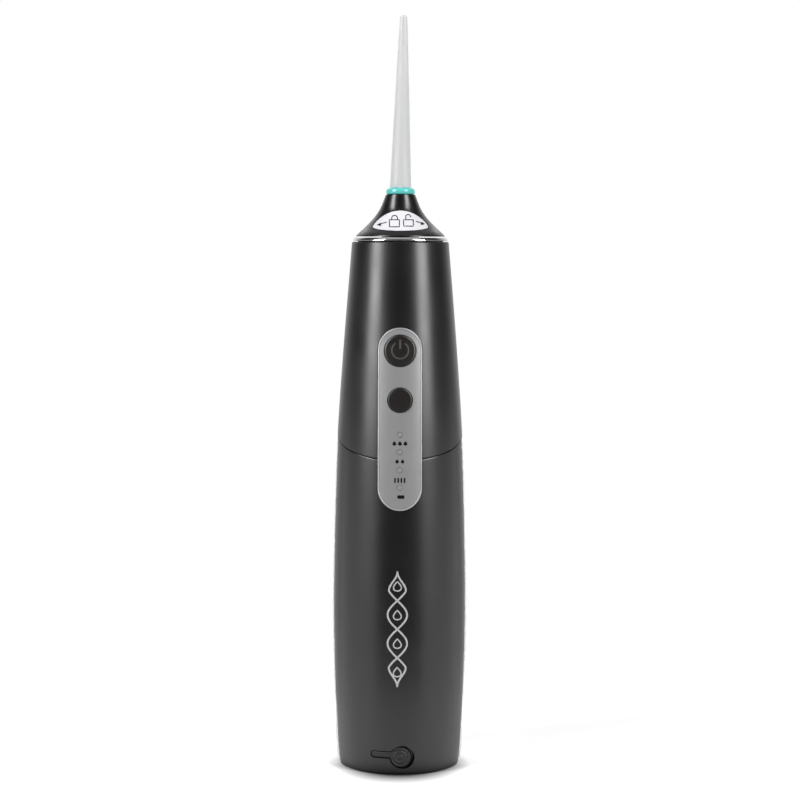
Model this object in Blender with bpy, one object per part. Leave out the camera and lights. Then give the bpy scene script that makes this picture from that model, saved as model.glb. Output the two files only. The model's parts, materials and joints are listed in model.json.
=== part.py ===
"""Cordless water flosser, modelled in metres: +Z up, front towards -Y, origin at the base centre.

The upper housing carries the drive, the pump and the board, the front shell carries the cell,
and the translucent tank is the rear of the lower body and slides down off the handle.
"""

import math

import bmesh
import bpy
from mathutils import Matrix, Vector

MM = 0.001

# Body of revolution, (height, radius) in mm
BODY = (
    (0.0, 23.3), (1.0, 24.1), (16.0, 25.05), (38.0, 25.9), (62.0, 26.15), (90.0, 25.65),
    (118.0, 24.75), (132.0, 24.1), (160.0, 22.2), (203.6, 18.7),
)
# Flared cap, (height, radius) in mm
CAP = (
    (205.6, 17.45), (206.6, 16.5), (208.9, 13.97), (211.2, 11.7), (213.5, 9.71), (216.6, 7.74),
    (221.7, 5.7),
)
HOUSING_WALL = 1.7
TANK_WALL = 1.4
SEAM_Z = 129.3  # height of the seam at the axis
SEAM_SLOPE = 0.336  # the seam falls towards the front
PARTING_Y = -4.6  # front-to-rear parting plane at SEAM_Z
PARTING_SLOPE = 2.8 / 129.0
GAP = 0.3

# Control panel, all on the front at x = 0
PANEL_BOTTOM = 102.2
PANEL_TOP = 171.3
PANEL_RADIUS = 8.4
BEZEL_WIDTH = 0.6
POWER_Z = 162.6
POWER_RADIUS = 6.0
MODE_Z = 144.0
MODE_RADIUS = 4.67
BUTTON_BACK_Y = -19.8
LIGHT_Z = (131.0, 124.4, 117.6, 111.0)
LIGHT_RADIUS = 1.05
BOARD_Y = (-16.4, -15.2)

# Charging port plug
PLUG_X = 0.6
PLUG_Z = 7.1
PLUG_RADIUS = 3.9
RECESS_X = 1.4
RECESS_RADIUS = 4.5
STRAP_END_X = -10.6
STRAP_Z = 8.0
STRAP_HEIGHT = 2.2

# Drive and pump
TOOTH_MODULE = 0.5
PINION_TEETH = 12
GEAR_TEETH = 48
MOTOR_Z = 128.2
MOTOR_RADIUS = 9.5
MOTOR_Y = (-1.0, 17.0)
GEAR_Z = MOTOR_Z + 0.5 * TOOTH_MODULE * (PINION_TEETH + GEAR_TEETH) + 0.1
GEAR_Y = (-7.2, -3.6)
CRANK = 1.0
WRIST_Z = GEAR_Z + 12.2
PISTON_RADIUS = 4.0
CYLINDER_Z = (163.2, 186.0)
HEAD_Z = (186.4, 193.0)
SUCTION_X = 13.5
SUCTION_Y = 8.0
INLET_Z = 188.0
INLET_TURN = math.atan2(SUCTION_Y, SUCTION_X)  # the inlet points at the suction tube

# Tip and socket
TIP_FLANGE_Z = 224.7
TIP_TOP = 290.0
TIP_LEAN = 0.0161
RING_Z = (222.0, 224.4)

# Tank
TANK_ROOF = (113.4, 115.0)
LID_Z = 85.0
LID_RADIUS = 8.9
LID_AXIS_Y = 24.7
LID_AXIS_Z = LID_Z + 10.3

# Pieces whose many small cuts need the solver that keeps a closed mesh closed
CLOSED_CUTS = ("bay_cover", "fill_lid", "valve_head", "water_tank")

BLACK = (0.012, 0.012, 0.013)
GREY = (0.28, 0.28, 0.29)
WHITE = (0.8, 0.8, 0.8)
TEAL = (0.07, 0.55, 0.52)
CLEAR = (0.62, 0.66, 0.68)
STEEL = (0.6, 0.6, 0.62)
RUBBER = (0.02, 0.02, 0.022)
NATURAL = (0.55, 0.55, 0.52)
BRASS = (0.6, 0.45, 0.2)


def clear_scene():
    for item in list(bpy.data.objects):
        bpy.data.objects.remove(item, do_unlink=True)


def radius_at(height, table=BODY):
    for (z0, r0), (z1, r1) in zip(table, table[1:]):
        if height <= z1:
            return r0 + (r1 - r0) * (height - z0) / (z1 - z0)
    return table[-1][1]


def seam_at(y):
    return SEAM_Z + SEAM_SLOPE * y


def parting_at(height):
    return PARTING_Y + PARTING_SLOPE * (height - SEAM_Z)


def side(z0, z1, inset, table=BODY):
    """(radius, height) points up the side of a turned body, moved in by inset."""
    heights = [z0] + [z for z, _ in table if z0 < z < z1] + [z1]
    return [(radius_at(z, table) - inset, z) for z in heights]


def material(name, colour, metallic=0.0, roughness=0.35, transmission=0.0):
    made = bpy.data.materials.new(name)
    made.use_nodes = True
    shader = made.node_tree.nodes["Principled BSDF"]
    shader.inputs["Base Color"].default_value = (*colour, 1.0)
    shader.inputs["Metallic"].default_value = metallic
    shader.inputs["Roughness"].default_value = roughness
    shader.inputs["Transmission Weight"].default_value = transmission
    made.diffuse_color = (*colour, 1.0)
    return made


def place(bm, name, origin=(0.0, 0.0, 0.0)):
    """An object at origin (mm) from a bmesh whose points are in mm."""
    bmesh.ops.recalc_face_normals(bm, faces=bm.faces)
    bmesh.ops.translate(bm, verts=bm.verts, vec=-Vector(origin))
    bmesh.ops.scale(bm, verts=bm.verts, vec=(MM, MM, MM))
    mesh = bpy.data.meshes.new(name)
    bm.to_mesh(mesh)
    bm.free()
    mesh.shade_smooth()
    mesh.set_sharp_from_angle(angle=math.radians(32))
    made = bpy.data.objects.new(name, mesh)
    made.location = Vector(origin) * MM
    bpy.context.scene.collection.objects.link(made)
    return made


def turned(name, profile, steps=24, centre=(0.0, 0.0), origin=(0.0, 0.0, 0.0), along=None):
    """A closed (radius, height) profile spun round Z, or round +Y when along is 'Y'."""
    bm = bmesh.new()
    points = [bm.verts.new((r, 0.0, z)) for r, z in profile]
    pairs = zip(points, points[1:] + points[:1])
    edges = [bm.edges.new((a, b)) for a, b in pairs if a.co.x > 0.0 or b.co.x > 0.0]
    bmesh.ops.spin(
        bm, geom=points + edges, cent=(0, 0, 0), axis=(0, 0, 1), steps=steps,
        angle=2 * math.pi, use_merge=True,
    )
    bmesh.ops.remove_doubles(bm, verts=bm.verts, dist=1e-4)
    if along == "Y":
        turn = Matrix.Rotation(math.radians(-90), 3, "X")
        bmesh.ops.rotate(bm, verts=bm.verts, cent=(0, 0, 0), matrix=turn)
        bmesh.ops.translate(bm, verts=bm.verts, vec=(centre[0], 0.0, centre[1]))
    elif along == "X":
        turn = Matrix.Rotation(math.radians(90), 3, "Y")
        bmesh.ops.rotate(bm, verts=bm.verts, cent=(0, 0, 0), matrix=turn)
        bmesh.ops.translate(bm, verts=bm.verts, vec=(0.0, centre[0], centre[1]))
    else:
        bmesh.ops.translate(bm, verts=bm.verts, vec=(centre[0], centre[1], 0.0))
    return place(bm, name, origin)


def ring(name, inner, outer, z0, z1, **how):
    return turned(name, [(outer, z0), (outer, z1), (inner, z1), (inner, z0)], **how)


def rod(name, radius, z0, z1, **how):
    return turned(name, [(0.0, z0), (radius, z0), (radius, z1), (0.0, z1)], **how)


def extruded(name, outline, start, end, axis="Y", origin=(0.0, 0.0, 0.0)):
    """An outline extruded along Y (points are x, z), X (points are y, z) or Z (points are x, y)."""
    bm = bmesh.new()
    to_point = {
        "X": lambda u, v: (start, u, v),
        "Y": lambda u, v: (u, start, v),
        "Z": lambda u, v: (u, v, start),
    }[axis]
    face = bm.faces.new([bm.verts.new(to_point(u, v)) for u, v in outline])
    grown = bmesh.ops.extrude_face_region(bm, geom=[face])["geom"]
    moved = [item for item in grown if isinstance(item, bmesh.types.BMVert)]
    shift = Vector([end - start if letter == axis else 0.0 for letter in "XYZ"])
    bmesh.ops.translate(bm, verts=moved, vec=shift)
    return place(bm, name, origin)


def box(name, low, high, origin=(0.0, 0.0, 0.0)):
    outline = [(low[0], low[1]), (high[0], low[1]), (high[0], high[1]), (low[0], high[1])]
    return extruded(name, outline, low[2], high[2], "Z", origin)


def circle(x, z, radius, steps=24):
    turns = [2 * math.pi * (i + 0.5) / steps for i in range(steps)]
    return [(x + radius * math.cos(t), z + radius * math.sin(t)) for t in turns]


def pill(radius, z0, z1, steps=10):
    """Outline of an upright pill between two heights, with round ends."""
    top = [math.pi * i / steps for i in range(steps + 1)]
    upper = [(radius * math.cos(t), z1 - radius + radius * math.sin(t)) for t in top]
    lower = [(-radius * math.cos(t), z0 + radius - radius * math.sin(t)) for t in top]
    return upper + lower


def lens(half_width, low, middle, high, steps=8):
    """Outline with two pointed ends, bowed up to high and down to low."""
    turns = [math.pi * i / steps for i in range(steps + 1)]
    upper = [(half_width * math.cos(t), middle + (high - middle) * math.sin(t)) for t in turns]
    lower = [(-half_width * math.cos(t), middle - (middle - low) * math.sin(t)) for t in turns[1:-1]]
    return upper + lower


def keyhole(grow, head_x, head_radius):
    """Outline of the port plug: a round head with a strap to the left."""
    radius = head_radius + grow
    low = STRAP_Z - 0.5 * STRAP_HEIGHT - grow
    high = STRAP_Z + 0.5 * STRAP_HEIGHT + grow
    first = math.pi - math.asin((high - PLUG_Z) / radius)
    last = -math.pi - math.asin((low - PLUG_Z) / radius)
    steps = 20
    turns = [first + (last - first) * i / steps for i in range(steps + 1)]
    head = [(head_x + radius * math.cos(t), PLUG_Z + radius * math.sin(t)) for t in turns]
    return head + [(STRAP_END_X - grow, low), (STRAP_END_X - grow, high)]


def gear_outline(teeth, centre_z, phase):
    """Trapezoid teeth round (0, centre_z)."""
    pitch = 0.5 * TOOTH_MODULE * teeth
    step = 2 * math.pi / teeth
    corners = ((-0.30, pitch - 0.6), (-0.13, pitch + 0.4), (0.13, pitch + 0.4), (0.30, pitch - 0.6))
    outline = []
    for tooth in range(teeth):
        for offset, radius in corners:
            turn = phase + (tooth + offset) * step
            outline.append((radius * math.cos(turn), centre_z + radius * math.sin(turn)))
    return outline


def combine(target, other, operation):
    """A Boolean with a hidden helper."""
    made = target.modifiers.new(other.name, "BOOLEAN")
    made.operation = operation
    made.solver = "MANIFOLD" if target.name in CLOSED_CUTS else "EXACT"
    made.object = other
    other.hide_render = True
    other.display_type = "WIRE"
    return target


def cut(target, *others):
    for other in others:
        combine(target, other, "DIFFERENCE")
    return target


def join(target, *others):
    for other in others:
        combine(target, other, "UNION")
    return target


def keep(target, *others):
    for other in others:
        combine(target, other, "INTERSECT")
    return target


def body_shell(name, z0, z1, outer, inner, steps=40, table=BODY, **how):
    """A shell between two insets of the turned body."""
    profile = side(z0, z1, outer, table) + side(z0, z1, inner, table)[::-1]
    return turned(name, profile, steps=steps, **how)


def body_solid(name, z0, z1, inset, steps=40, **how):
    return turned(name, [(0.0, z0)] + side(z0, z1, inset) + [(0.0, z1)], steps=steps, **how)


def above_seam(name, shift):
    outline = [(-40, seam_at(-40) + shift), (40, seam_at(40) + shift), (40, 240), (-40, 240)]
    return extruded(name, outline, -40, 40, "X")


def below_seam(name, shift):
    outline = [(-40, -20), (40, -20), (40, seam_at(40) + shift), (-40, seam_at(-40) + shift)]
    return extruded(name, outline, -40, 40, "X")


def in_front(name, shift):
    outline = [(-40, -20), (parting_at(-20) + shift, -20), (parting_at(170) + shift, 170), (-40, 170)]
    return extruded(name, outline, -40, 40, "X")


def behind(name, shift):
    outline = [(parting_at(-20) + shift, -20), (40, -20), (40, 170), (parting_at(170) + shift, 170)]
    return extruded(name, outline, -40, 40, "X")


def panel_opening(name):
    outline = pill(PANEL_RADIUS + GAP, PANEL_BOTTOM - GAP, PANEL_TOP + GAP)
    return extruded(name, outline, -40, -12)


def finish(target, parent, *look, **more):
    target.data.materials.append(material("mat_" + target.name, *look, **more))
    if parent:
        target.parent = parent
        target.location = target.location - parent.matrix_world.translation
    return target


def carrier(name, at, parent=None):
    """An empty at a joint, in mm; the pieces of a moving body hang from it."""
    made = bpy.data.objects.new(name, None)
    made.empty_display_size = 0.01
    bpy.context.scene.collection.objects.link(made)
    made.location = Vector(at) * MM
    if parent:
        made.parent = parent
        made.location = made.location - parent.matrix_world.translation
    bpy.context.view_layer.update()
    return made


def make_shells(handle):
    housing = turned(
        "upper_housing",
        side(112.0, 203.6, 0.0)
        + [(16.6, 203.6), (16.6, 202.2), (7.6, 202.2), (7.6, 200.4)]
        + side(112.0, 200.4, HOUSING_WALL)[::-1],
        steps=40,
    )
    cut(housing, below_seam("cut_housing_seam", 0.15), panel_opening("cut_housing_panel"))
    finish(housing, handle, BLACK, roughness=0.38)

    shell = turned(
        "lower_front_shell",
        [(0.0, 0.0)] + side(0.0, 140.0, 0.0) + side(1.8, 140.0, HOUSING_WALL)[::-1] + [(0.0, 1.8)],
        steps=40,
    )
    cut(shell, behind("cut_shell_rear", 0.0))
    posts = [(x, z) for z in (20.0, 96.0) for x in (-17.0, 17.0)]
    for number, (x, z) in enumerate(posts, 1):
        post = rod("add_post_%d" % number, 2.4, -15.8, -9.6, steps=12, centre=(x, z), along="Y")
        join(shell, post)
    for number, (x, z) in enumerate(posts, 1):
        pilot = rod("cut_pilot_%d" % number, 1.2, -14.5, -9.0, steps=12, centre=(x, z), along="Y")
        cut(shell, pilot)
    cut(shell, above_seam("cut_shell_seam", -0.15), panel_opening("cut_shell_panel"))
    strap = extruded("cut_strap", keyhole(0.35, PLUG_X, PLUG_RADIUS), -40, -15)
    recess = extruded("cut_recess", circle(RECESS_X, PLUG_Z, RECESS_RADIUS), -40, -15)
    cut(shell, strap, recess)
    finish(shell, handle, BLACK, roughness=0.38)

    cover = body_solid("bay_cover", 2.2, 115.4, HOUSING_WALL + 0.4)
    keep(cover, in_front("keep_cover_front", -0.4))
    cut(cover, in_front("cut_cover_bay", -1.9))
    for number, (x, z) in enumerate(posts, 1):
        hole = rod("cut_cover_hole_%d" % number, 1.2, -15.0, 0.0, steps=12, centre=(x, z), along="Y")
        face = parting_at(z)
        sink = rod("cut_sink_%d" % number, 2.4, face - 1.3, 0.0, steps=12, centre=(x, z), along="Y")
        cut(cover, hole, sink)
        screw = turned(
            "bay_screw_%d" % number,
            [(0.0, -14.0), (0.85, -14.0), (0.85, face - 0.9), (1.9, face - 0.9),
             (1.9, face - 0.45), (0.0, face - 0.45)],
            steps=12, centre=(x, z), along="Y", origin=(x, face - 0.45, z),
        )
        finish(screw, handle, STEEL, metallic=1.0, roughness=0.3)
    finish(cover, handle, BLACK, roughness=0.5)

    trim = [(15.6, 202.5), (16.3, 202.5), (16.3, 203.9), (18.45, 203.9), (18.3, 204.5), (17.75, 205.3),
            (15.6, 205.3)]
    chrome = turned("chrome_ring", trim, steps=40)
    finish(chrome, handle, STEEL, metallic=1.0, roughness=0.12)


def make_panel(handle):
    panel = body_shell("control_panel", 98.0, 176.0, -0.45, 1.2)
    face = pill(PANEL_RADIUS - BEZEL_WIDTH - 0.2, PANEL_BOTTOM + 0.8, PANEL_TOP - 0.8)
    keep(panel, extruded("keep_panel", face, -40, -12))
    cut(panel, rod("cut_power", POWER_RADIUS + GAP, -40, -12, centre=(0.0, POWER_Z), along="Y"))
    cut(panel, rod("cut_mode", MODE_RADIUS + GAP, -40, -12, centre=(0.0, MODE_Z), along="Y"))
    for number, height in enumerate(LIGHT_Z, 1):
        hole = rod(
            "cut_light_%d" % number, LIGHT_RADIUS + GAP, -40, -12,
            steps=12, centre=(0.0, height), along="Y",
        )
        cut(panel, hole)
        pipe = body_solid("light_pipe_%d" % number, 98.0, 176.0, -0.45)
        stick = rod(
            "keep_light_%d" % number, LIGHT_RADIUS, -40, BOARD_Y[0] - 0.6,
            steps=12, centre=(0.0, height), along="Y",
        )
        keep(pipe, stick)
        finish(pipe, handle, WHITE, roughness=0.25, transmission=0.4)
    finish(panel, handle, GREY, roughness=0.3)

    bezel = body_shell("panel_bezel", 98.0, 176.0, -0.6, 1.5)
    keep(bezel, extruded("keep_bezel", pill(PANEL_RADIUS, PANEL_BOTTOM, PANEL_TOP), -40, -12))
    inside = pill(PANEL_RADIUS - 0.5, PANEL_BOTTOM + 0.5, PANEL_TOP - 0.5)
    cut(bezel, extruded("cut_bezel", inside, -41, -11))
    finish(bezel, handle, (0.45, 0.45, 0.46), metallic=0.6, roughness=0.25)

    board = box("main_board", (-6.8, BOARD_Y[0], 105.0), (6.8, BOARD_Y[1], 169.0))
    finish(board, handle, (0.03, 0.2, 0.07), roughness=0.5)
    for name, height, radius in (("power", POWER_Z, POWER_RADIUS), ("mode", MODE_Z, MODE_RADIUS)):
        switch = box(
            name + "_switch", (-3.0, -18.6, height - 3.0), (3.0, BOARD_Y[0] - GAP, height + 3.0),
        )
        finish(switch, handle, (0.15, 0.15, 0.16), roughness=0.4)
        pivot = (0.0, -radius_at(height) - 0.7, height)
        button = body_solid(name + "_button", 98.0, 176.0, -0.75, origin=pivot)
        stick = rod("keep_" + name, radius, -40, BUTTON_BACK_Y, centre=(0.0, height), along="Y")
        keep(button, stick)
        finish(button, handle, (0.015, 0.015, 0.016), roughness=0.3)


def make_port(handle):
    jack = box("charge_jack", (PLUG_X - 4.4, -20.4, 2.3), (PLUG_X + 6.0, -14.0, 13.0))
    hole = rod("cut_jack", 2.6, -30.0, -16.0, steps=16, centre=(PLUG_X, PLUG_Z), along="Y")
    cut(jack, hole)
    finish(jack, handle, (0.05, 0.05, 0.05), roughness=0.5)
    axis_y = -math.sqrt(radius_at(STRAP_Z) ** 2 - STRAP_END_X**2)
    plug = body_shell("charge_plug", 2.0, 15.0, 0.1, 1.5, origin=(STRAP_END_X, axis_y, STRAP_Z))
    keep(plug, extruded("keep_plug", keyhole(0.0, PLUG_X, PLUG_RADIUS), -40, -15))
    stem = rod("add_stem", 2.0, -23.6, -19.8, steps=16, centre=(PLUG_X, PLUG_Z), along="Y")
    join(plug, stem)
    finish(plug, handle, RUBBER, roughness=0.6)
    cell = turned(
        "battery",
        [(0.0, 34.0), (6.9, 34.0), (6.9, 84.0), (2.8, 84.0), (2.8, 85.2), (0.0, 85.2)],
        centre=(0.0, -16.4), origin=(0.0, -16.4, 34.0),
    )
    finish(cell, handle, (0.05, 0.2, 0.5), roughness=0.4)


def make_pump_base(handle):
    base = rod("pump_base", 21.0, 116.4, 118.0, steps=40)
    wall = ring("add_barrel", 19.9, 20.9, 117.0, 150.0, steps=40)
    cut(wall, box("cut_barrel", (-30, -30, 110.0), (30, -9.0, 160.0)))
    plate = box("add_plate", (-13.0, -9.8, 117.0), (13.0, -8.4, 165.7))
    shelf = box("add_shelf", (-12.0, -9.8, 164.2), (12.0, 7.0, 165.7))
    cut(base, box("cut_board_space", (-30, -30, 110.0), (30, -14.6, 125.0)))
    join(base, wall, plate, shelf)
    cut(base, rod("cut_cylinder_seat", 6.6, 160.0, 170.0))
    cut(base, rod("cut_suction", 2.3, 110.0, 125.0, steps=12, centre=(SUCTION_X, SUCTION_Y)))
    cut(base, rod("cut_axle", 1.8, -12.0, -7.5, steps=12, centre=(0.0, GEAR_Z), along="Y"))
    for sign, name in ((-1, "left"), (1, "right")):
        x = 9.2 * sign
        cut(base, rod("cut_ear_" + name, 1.2, 160.0, 170.0, steps=12, centre=(x, 0.0)))
        screw = turned(
            "pump_screw_" + name,
            [(0.0, 162.5), (0.85, 162.5), (0.85, 168.0), (1.8, 168.0), (1.8, 169.1), (0.0, 169.1)],
            steps=12, centre=(x, 0.0), origin=(x, 0.0, 169.1),
        )
        finish(screw, handle, STEEL, metallic=1.0, roughness=0.3)
    finish(base, handle, NATURAL, roughness=0.5)


def make_drive(handle):
    motor = rod("motor", MOTOR_RADIUS, *MOTOR_Y, centre=(0.0, MOTOR_Z), along="Y")
    keep(motor, box("keep_flats", (-7.6, -30, 100), (7.6, 30, 150)))
    cut(motor, rod("cut_shaft", 1.3, -3.0, 3.0, steps=12, centre=(0.0, MOTOR_Z), along="Y"))
    finish(motor, handle, STEEL, metallic=1.0, roughness=0.35)
    axle = turned(
        "gear_axle",
        [(0.0, -11.2), (2.6, -11.2), (2.6, -10.1), (1.5, -10.1), (1.5, -4.4), (0.0, -4.4)],
        steps=12, centre=(0.0, GEAR_Z), along="Y",
    )
    finish(axle, handle, STEEL, metallic=1.0, roughness=0.25)

    half_tooth = math.pi / PINION_TEETH
    pinion = extruded(
        "motor_pinion", gear_outline(PINION_TEETH, MOTOR_Z, half_tooth), *GEAR_Y,
        origin=(0.0, GEAR_Y[0], MOTOR_Z),
    )
    join(pinion, rod("add_shaft", 1.0, -5.0, 2.5, steps=12, centre=(0.0, MOTOR_Z), along="Y"))
    finish(pinion, handle, BRASS, metallic=1.0, roughness=0.3)

    gear_carrier = carrier("drive_pivot", (0.0, GEAR_Y[0], GEAR_Z), handle)
    gear = extruded(
        "drive_gear", gear_outline(GEAR_TEETH, GEAR_Z, 0.0), *GEAR_Y, origin=(0.0, GEAR_Y[0], GEAR_Z),
    )
    crank = rod("add_crank", 2.0, GEAR_Y[1] - 0.5, 1.6, steps=16, centre=(CRANK, GEAR_Z), along="Y")
    join(gear, crank)
    cut(gear, rod("cut_gear_bore", 1.8, -9.0, -4.0, steps=12, centre=(0.0, GEAR_Z), along="Y"))
    finish(gear, gear_carrier, WHITE, roughness=0.45)

    link = rod("con_rod", 3.4, -1.2, 1.2, steps=20, centre=(CRANK, GEAR_Z), along="Y",
               origin=(CRANK, 0.0, GEAR_Z))
    bar = box("add_bar", (CRANK - 1.4, -1.2, GEAR_Z + 2.6), (CRANK + 1.4, 1.2, WRIST_Z))
    end = rod("add_rod_end", 2.0, -1.2, 1.2, steps=16, centre=(CRANK, WRIST_Z), along="Y")
    pin = rod("add_wrist_pin", 1.0, -3.3, 3.3, steps=12, centre=(CRANK, WRIST_Z), along="Y")
    join(link, bar, end, pin)
    cut(link, rod("cut_big_end", 2.35, -4.0, 4.0, steps=16, centre=(CRANK, GEAR_Z), along="Y"))
    finish(link, gear_carrier, WHITE, roughness=0.45)


def make_pump(handle):
    crown = WRIST_Z + 4.4
    piston = turned(
        "piston",
        [(0.0, crown), (PISTON_RADIUS, crown), (PISTON_RADIUS, 172.0), (3.3, 172.0), (3.3, 174.0),
         (PISTON_RADIUS, 174.0), (PISTON_RADIUS, 176.0), (0.0, 176.0)],
        steps=20, origin=(0.0, 0.0, WRIST_Z),
    )
    fork = box("add_fork", (-4.4, -3.0, WRIST_Z - 4.4), (4.4, 3.0, crown + 1.4))
    cut(fork, box("cut_fork", (-6.0, -1.6, WRIST_Z - 6.0), (6.0, 1.6, crown)))
    cut(fork, rod("cut_fork_eye", 3.3, -5.0, 5.0, steps=20, centre=(0.0, WRIST_Z), along="Y"))
    join(piston, fork)
    finish(piston, handle, WHITE, roughness=0.35)
    seal = ring("piston_seal", 3.45, 4.15, 172.3, 173.7, steps=20, origin=(0.0, 0.0, WRIST_Z))
    finish(seal, handle, RUBBER, roughness=0.6)

    low, high = CYLINDER_Z
    cylinder = ring("pump_cylinder", 4.5, 6.2, low, high)
    ears = box("add_ears", (-11.2, -3.4, 166.1), (11.2, 3.4, 167.6))
    cut(ears, rod("cut_ears_bore", 5.2, 160.0, 170.0))
    for sign in (-1, 1):
        hole = rod("cut_ear_hole_%d" % (sign + 2), 1.2, 160.0, 170.0, steps=12, centre=(9.2 * sign, 0.0))
        cut(ears, hole)
    join(cylinder, ears)
    finish(cylinder, handle, (0.5, 0.52, 0.54), roughness=0.4)

    low, high = HEAD_Z
    head = turned(
        "valve_head",
        [(1.4, low), (6.2, low), (6.2, high), (1.9, high), (1.9, 195.5), (1.0, 195.5),
         (1.0, high - 1.5), (2.4, high - 1.5), (2.4, low + 2.8), (1.4, low + 2.8)],
    )
    inlet = turned(
        "add_inlet",
        [(0.0, 2.0), (2.0, 2.0), (2.0, 8.0), (0.8, 8.0), (0.8, 12.0), (0.0, 12.0)],
        steps=16, centre=(0.0, INLET_Z), along="X",
    )
    bore = rod("cut_inlet", 0.4, 1.2, 13.0, steps=8, centre=(0.0, INLET_Z), along="X")
    seat = rod("cut_inlet_seat", 1.3, 1.2, 5.0, steps=12, centre=(0.0, INLET_Z), along="X")
    join(head, inlet)
    cut(head, bore, seat)
    cut(head, rod("cut_head_bore", 1.4, low - 0.5, low + 3.0, steps=16))
    finish(head, handle, (0.5, 0.52, 0.54), roughness=0.4)
    inlet_valve = turned(
        "inlet_valve", [(0.0, 2.0), (0.45, 2.0), (1.0, 3.4), (1.0, 4.6), (0.0, 4.6)],
        steps=12, centre=(0.0, INLET_Z), along="X", origin=(0.0, 0.0, INLET_Z),
    )
    for turning in (inlet, bore, seat, inlet_valve):
        turning.rotation_euler.z = INLET_TURN
    finish(inlet_valve, handle, RUBBER, roughness=0.6)
    outlet_valve = turned(
        "outlet_valve", [(0.0, low + 3.1), (1.9, low + 3.1), (1.5, low + 3.8), (0.0, low + 4.3)],
        steps=12, origin=(0.0, 0.0, low + 3.1),
    )
    finish(outlet_valve, handle, RUBBER, roughness=0.6)
    tube = ring("outlet_tube", 2.2, 3.0, high + GAP, 198.2, steps=16)
    finish(tube, handle, CLEAR, roughness=0.3)


def tube_ring(bm, centre, tangent, radius, steps):
    side_way = tangent.cross(Vector((0.0, 1.0, 0.0)))
    if side_way.length < 0.1:
        side_way = tangent.cross(Vector((1.0, 0.0, 0.0)))
    side_way.normalize()
    up_way = tangent.cross(side_way).normalized()
    points = []
    for i in range(steps):
        turn = 2 * math.pi * i / steps
        points.append(bm.verts.new(centre + radius * (math.cos(turn) * side_way + math.sin(turn) * up_way)))
    return points


def make_suction(handle):
    """A bored tube from the tank floor, up the right side and over to the valve head."""
    inward = Vector((-math.cos(INLET_TURN), -math.sin(INLET_TURN), 0.0))
    upward = Vector((0.0, 0.0, 1.0))
    bend = 5.0
    elbow = Vector((SUCTION_X, SUCTION_Y, INLET_Z - bend)) + bend * inward
    path = [Vector((SUCTION_X, SUCTION_Y, 10.4))]
    for i in range(7):
        turn = 0.5 * math.pi * i / 6
        path.append(elbow + bend * (math.sin(turn) * upward - math.cos(turn) * inward))
    path.append(path[-1] + 0.4 * inward)
    bm = bmesh.new()
    steps = 10
    walls = {}
    for radius in (1.8, 1.1):
        rings = []
        for i, point in enumerate(path):
            before = path[max(i - 1, 0)]
            after = path[min(i + 1, len(path) - 1)]
            rings.append(tube_ring(bm, point, (after - before).normalized(), radius, steps))
        walls[radius] = rings
        for low, high in zip(rings, rings[1:]):
            for i in range(steps):
                j = (i + 1) % steps
                bm.faces.new((low[i], low[j], high[j], high[i]))
    for end in (0, -1):
        outer, inner = walls[1.8][end], walls[1.1][end]
        for i in range(steps):
            j = (i + 1) % steps
            bm.faces.new((outer[i], outer[j], inner[j], inner[i]))
    tube = place(bm, "suction_tube", (SUCTION_X, SUCTION_Y, 116.4))
    finish(tube, handle, CLEAR, roughness=0.3)
    filter_end = turned(
        "suction_filter",
        [(0.4, 4.0), (2.0, 4.0), (2.0, 10.1), (0.8, 10.1), (0.8, 12.6), (0.4, 12.6)],
        steps=12, centre=(SUCTION_X, SUCTION_Y), origin=(SUCTION_X, SUCTION_Y, 4.0),
    )
    finish(filter_end, handle, WHITE, roughness=0.4)


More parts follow.
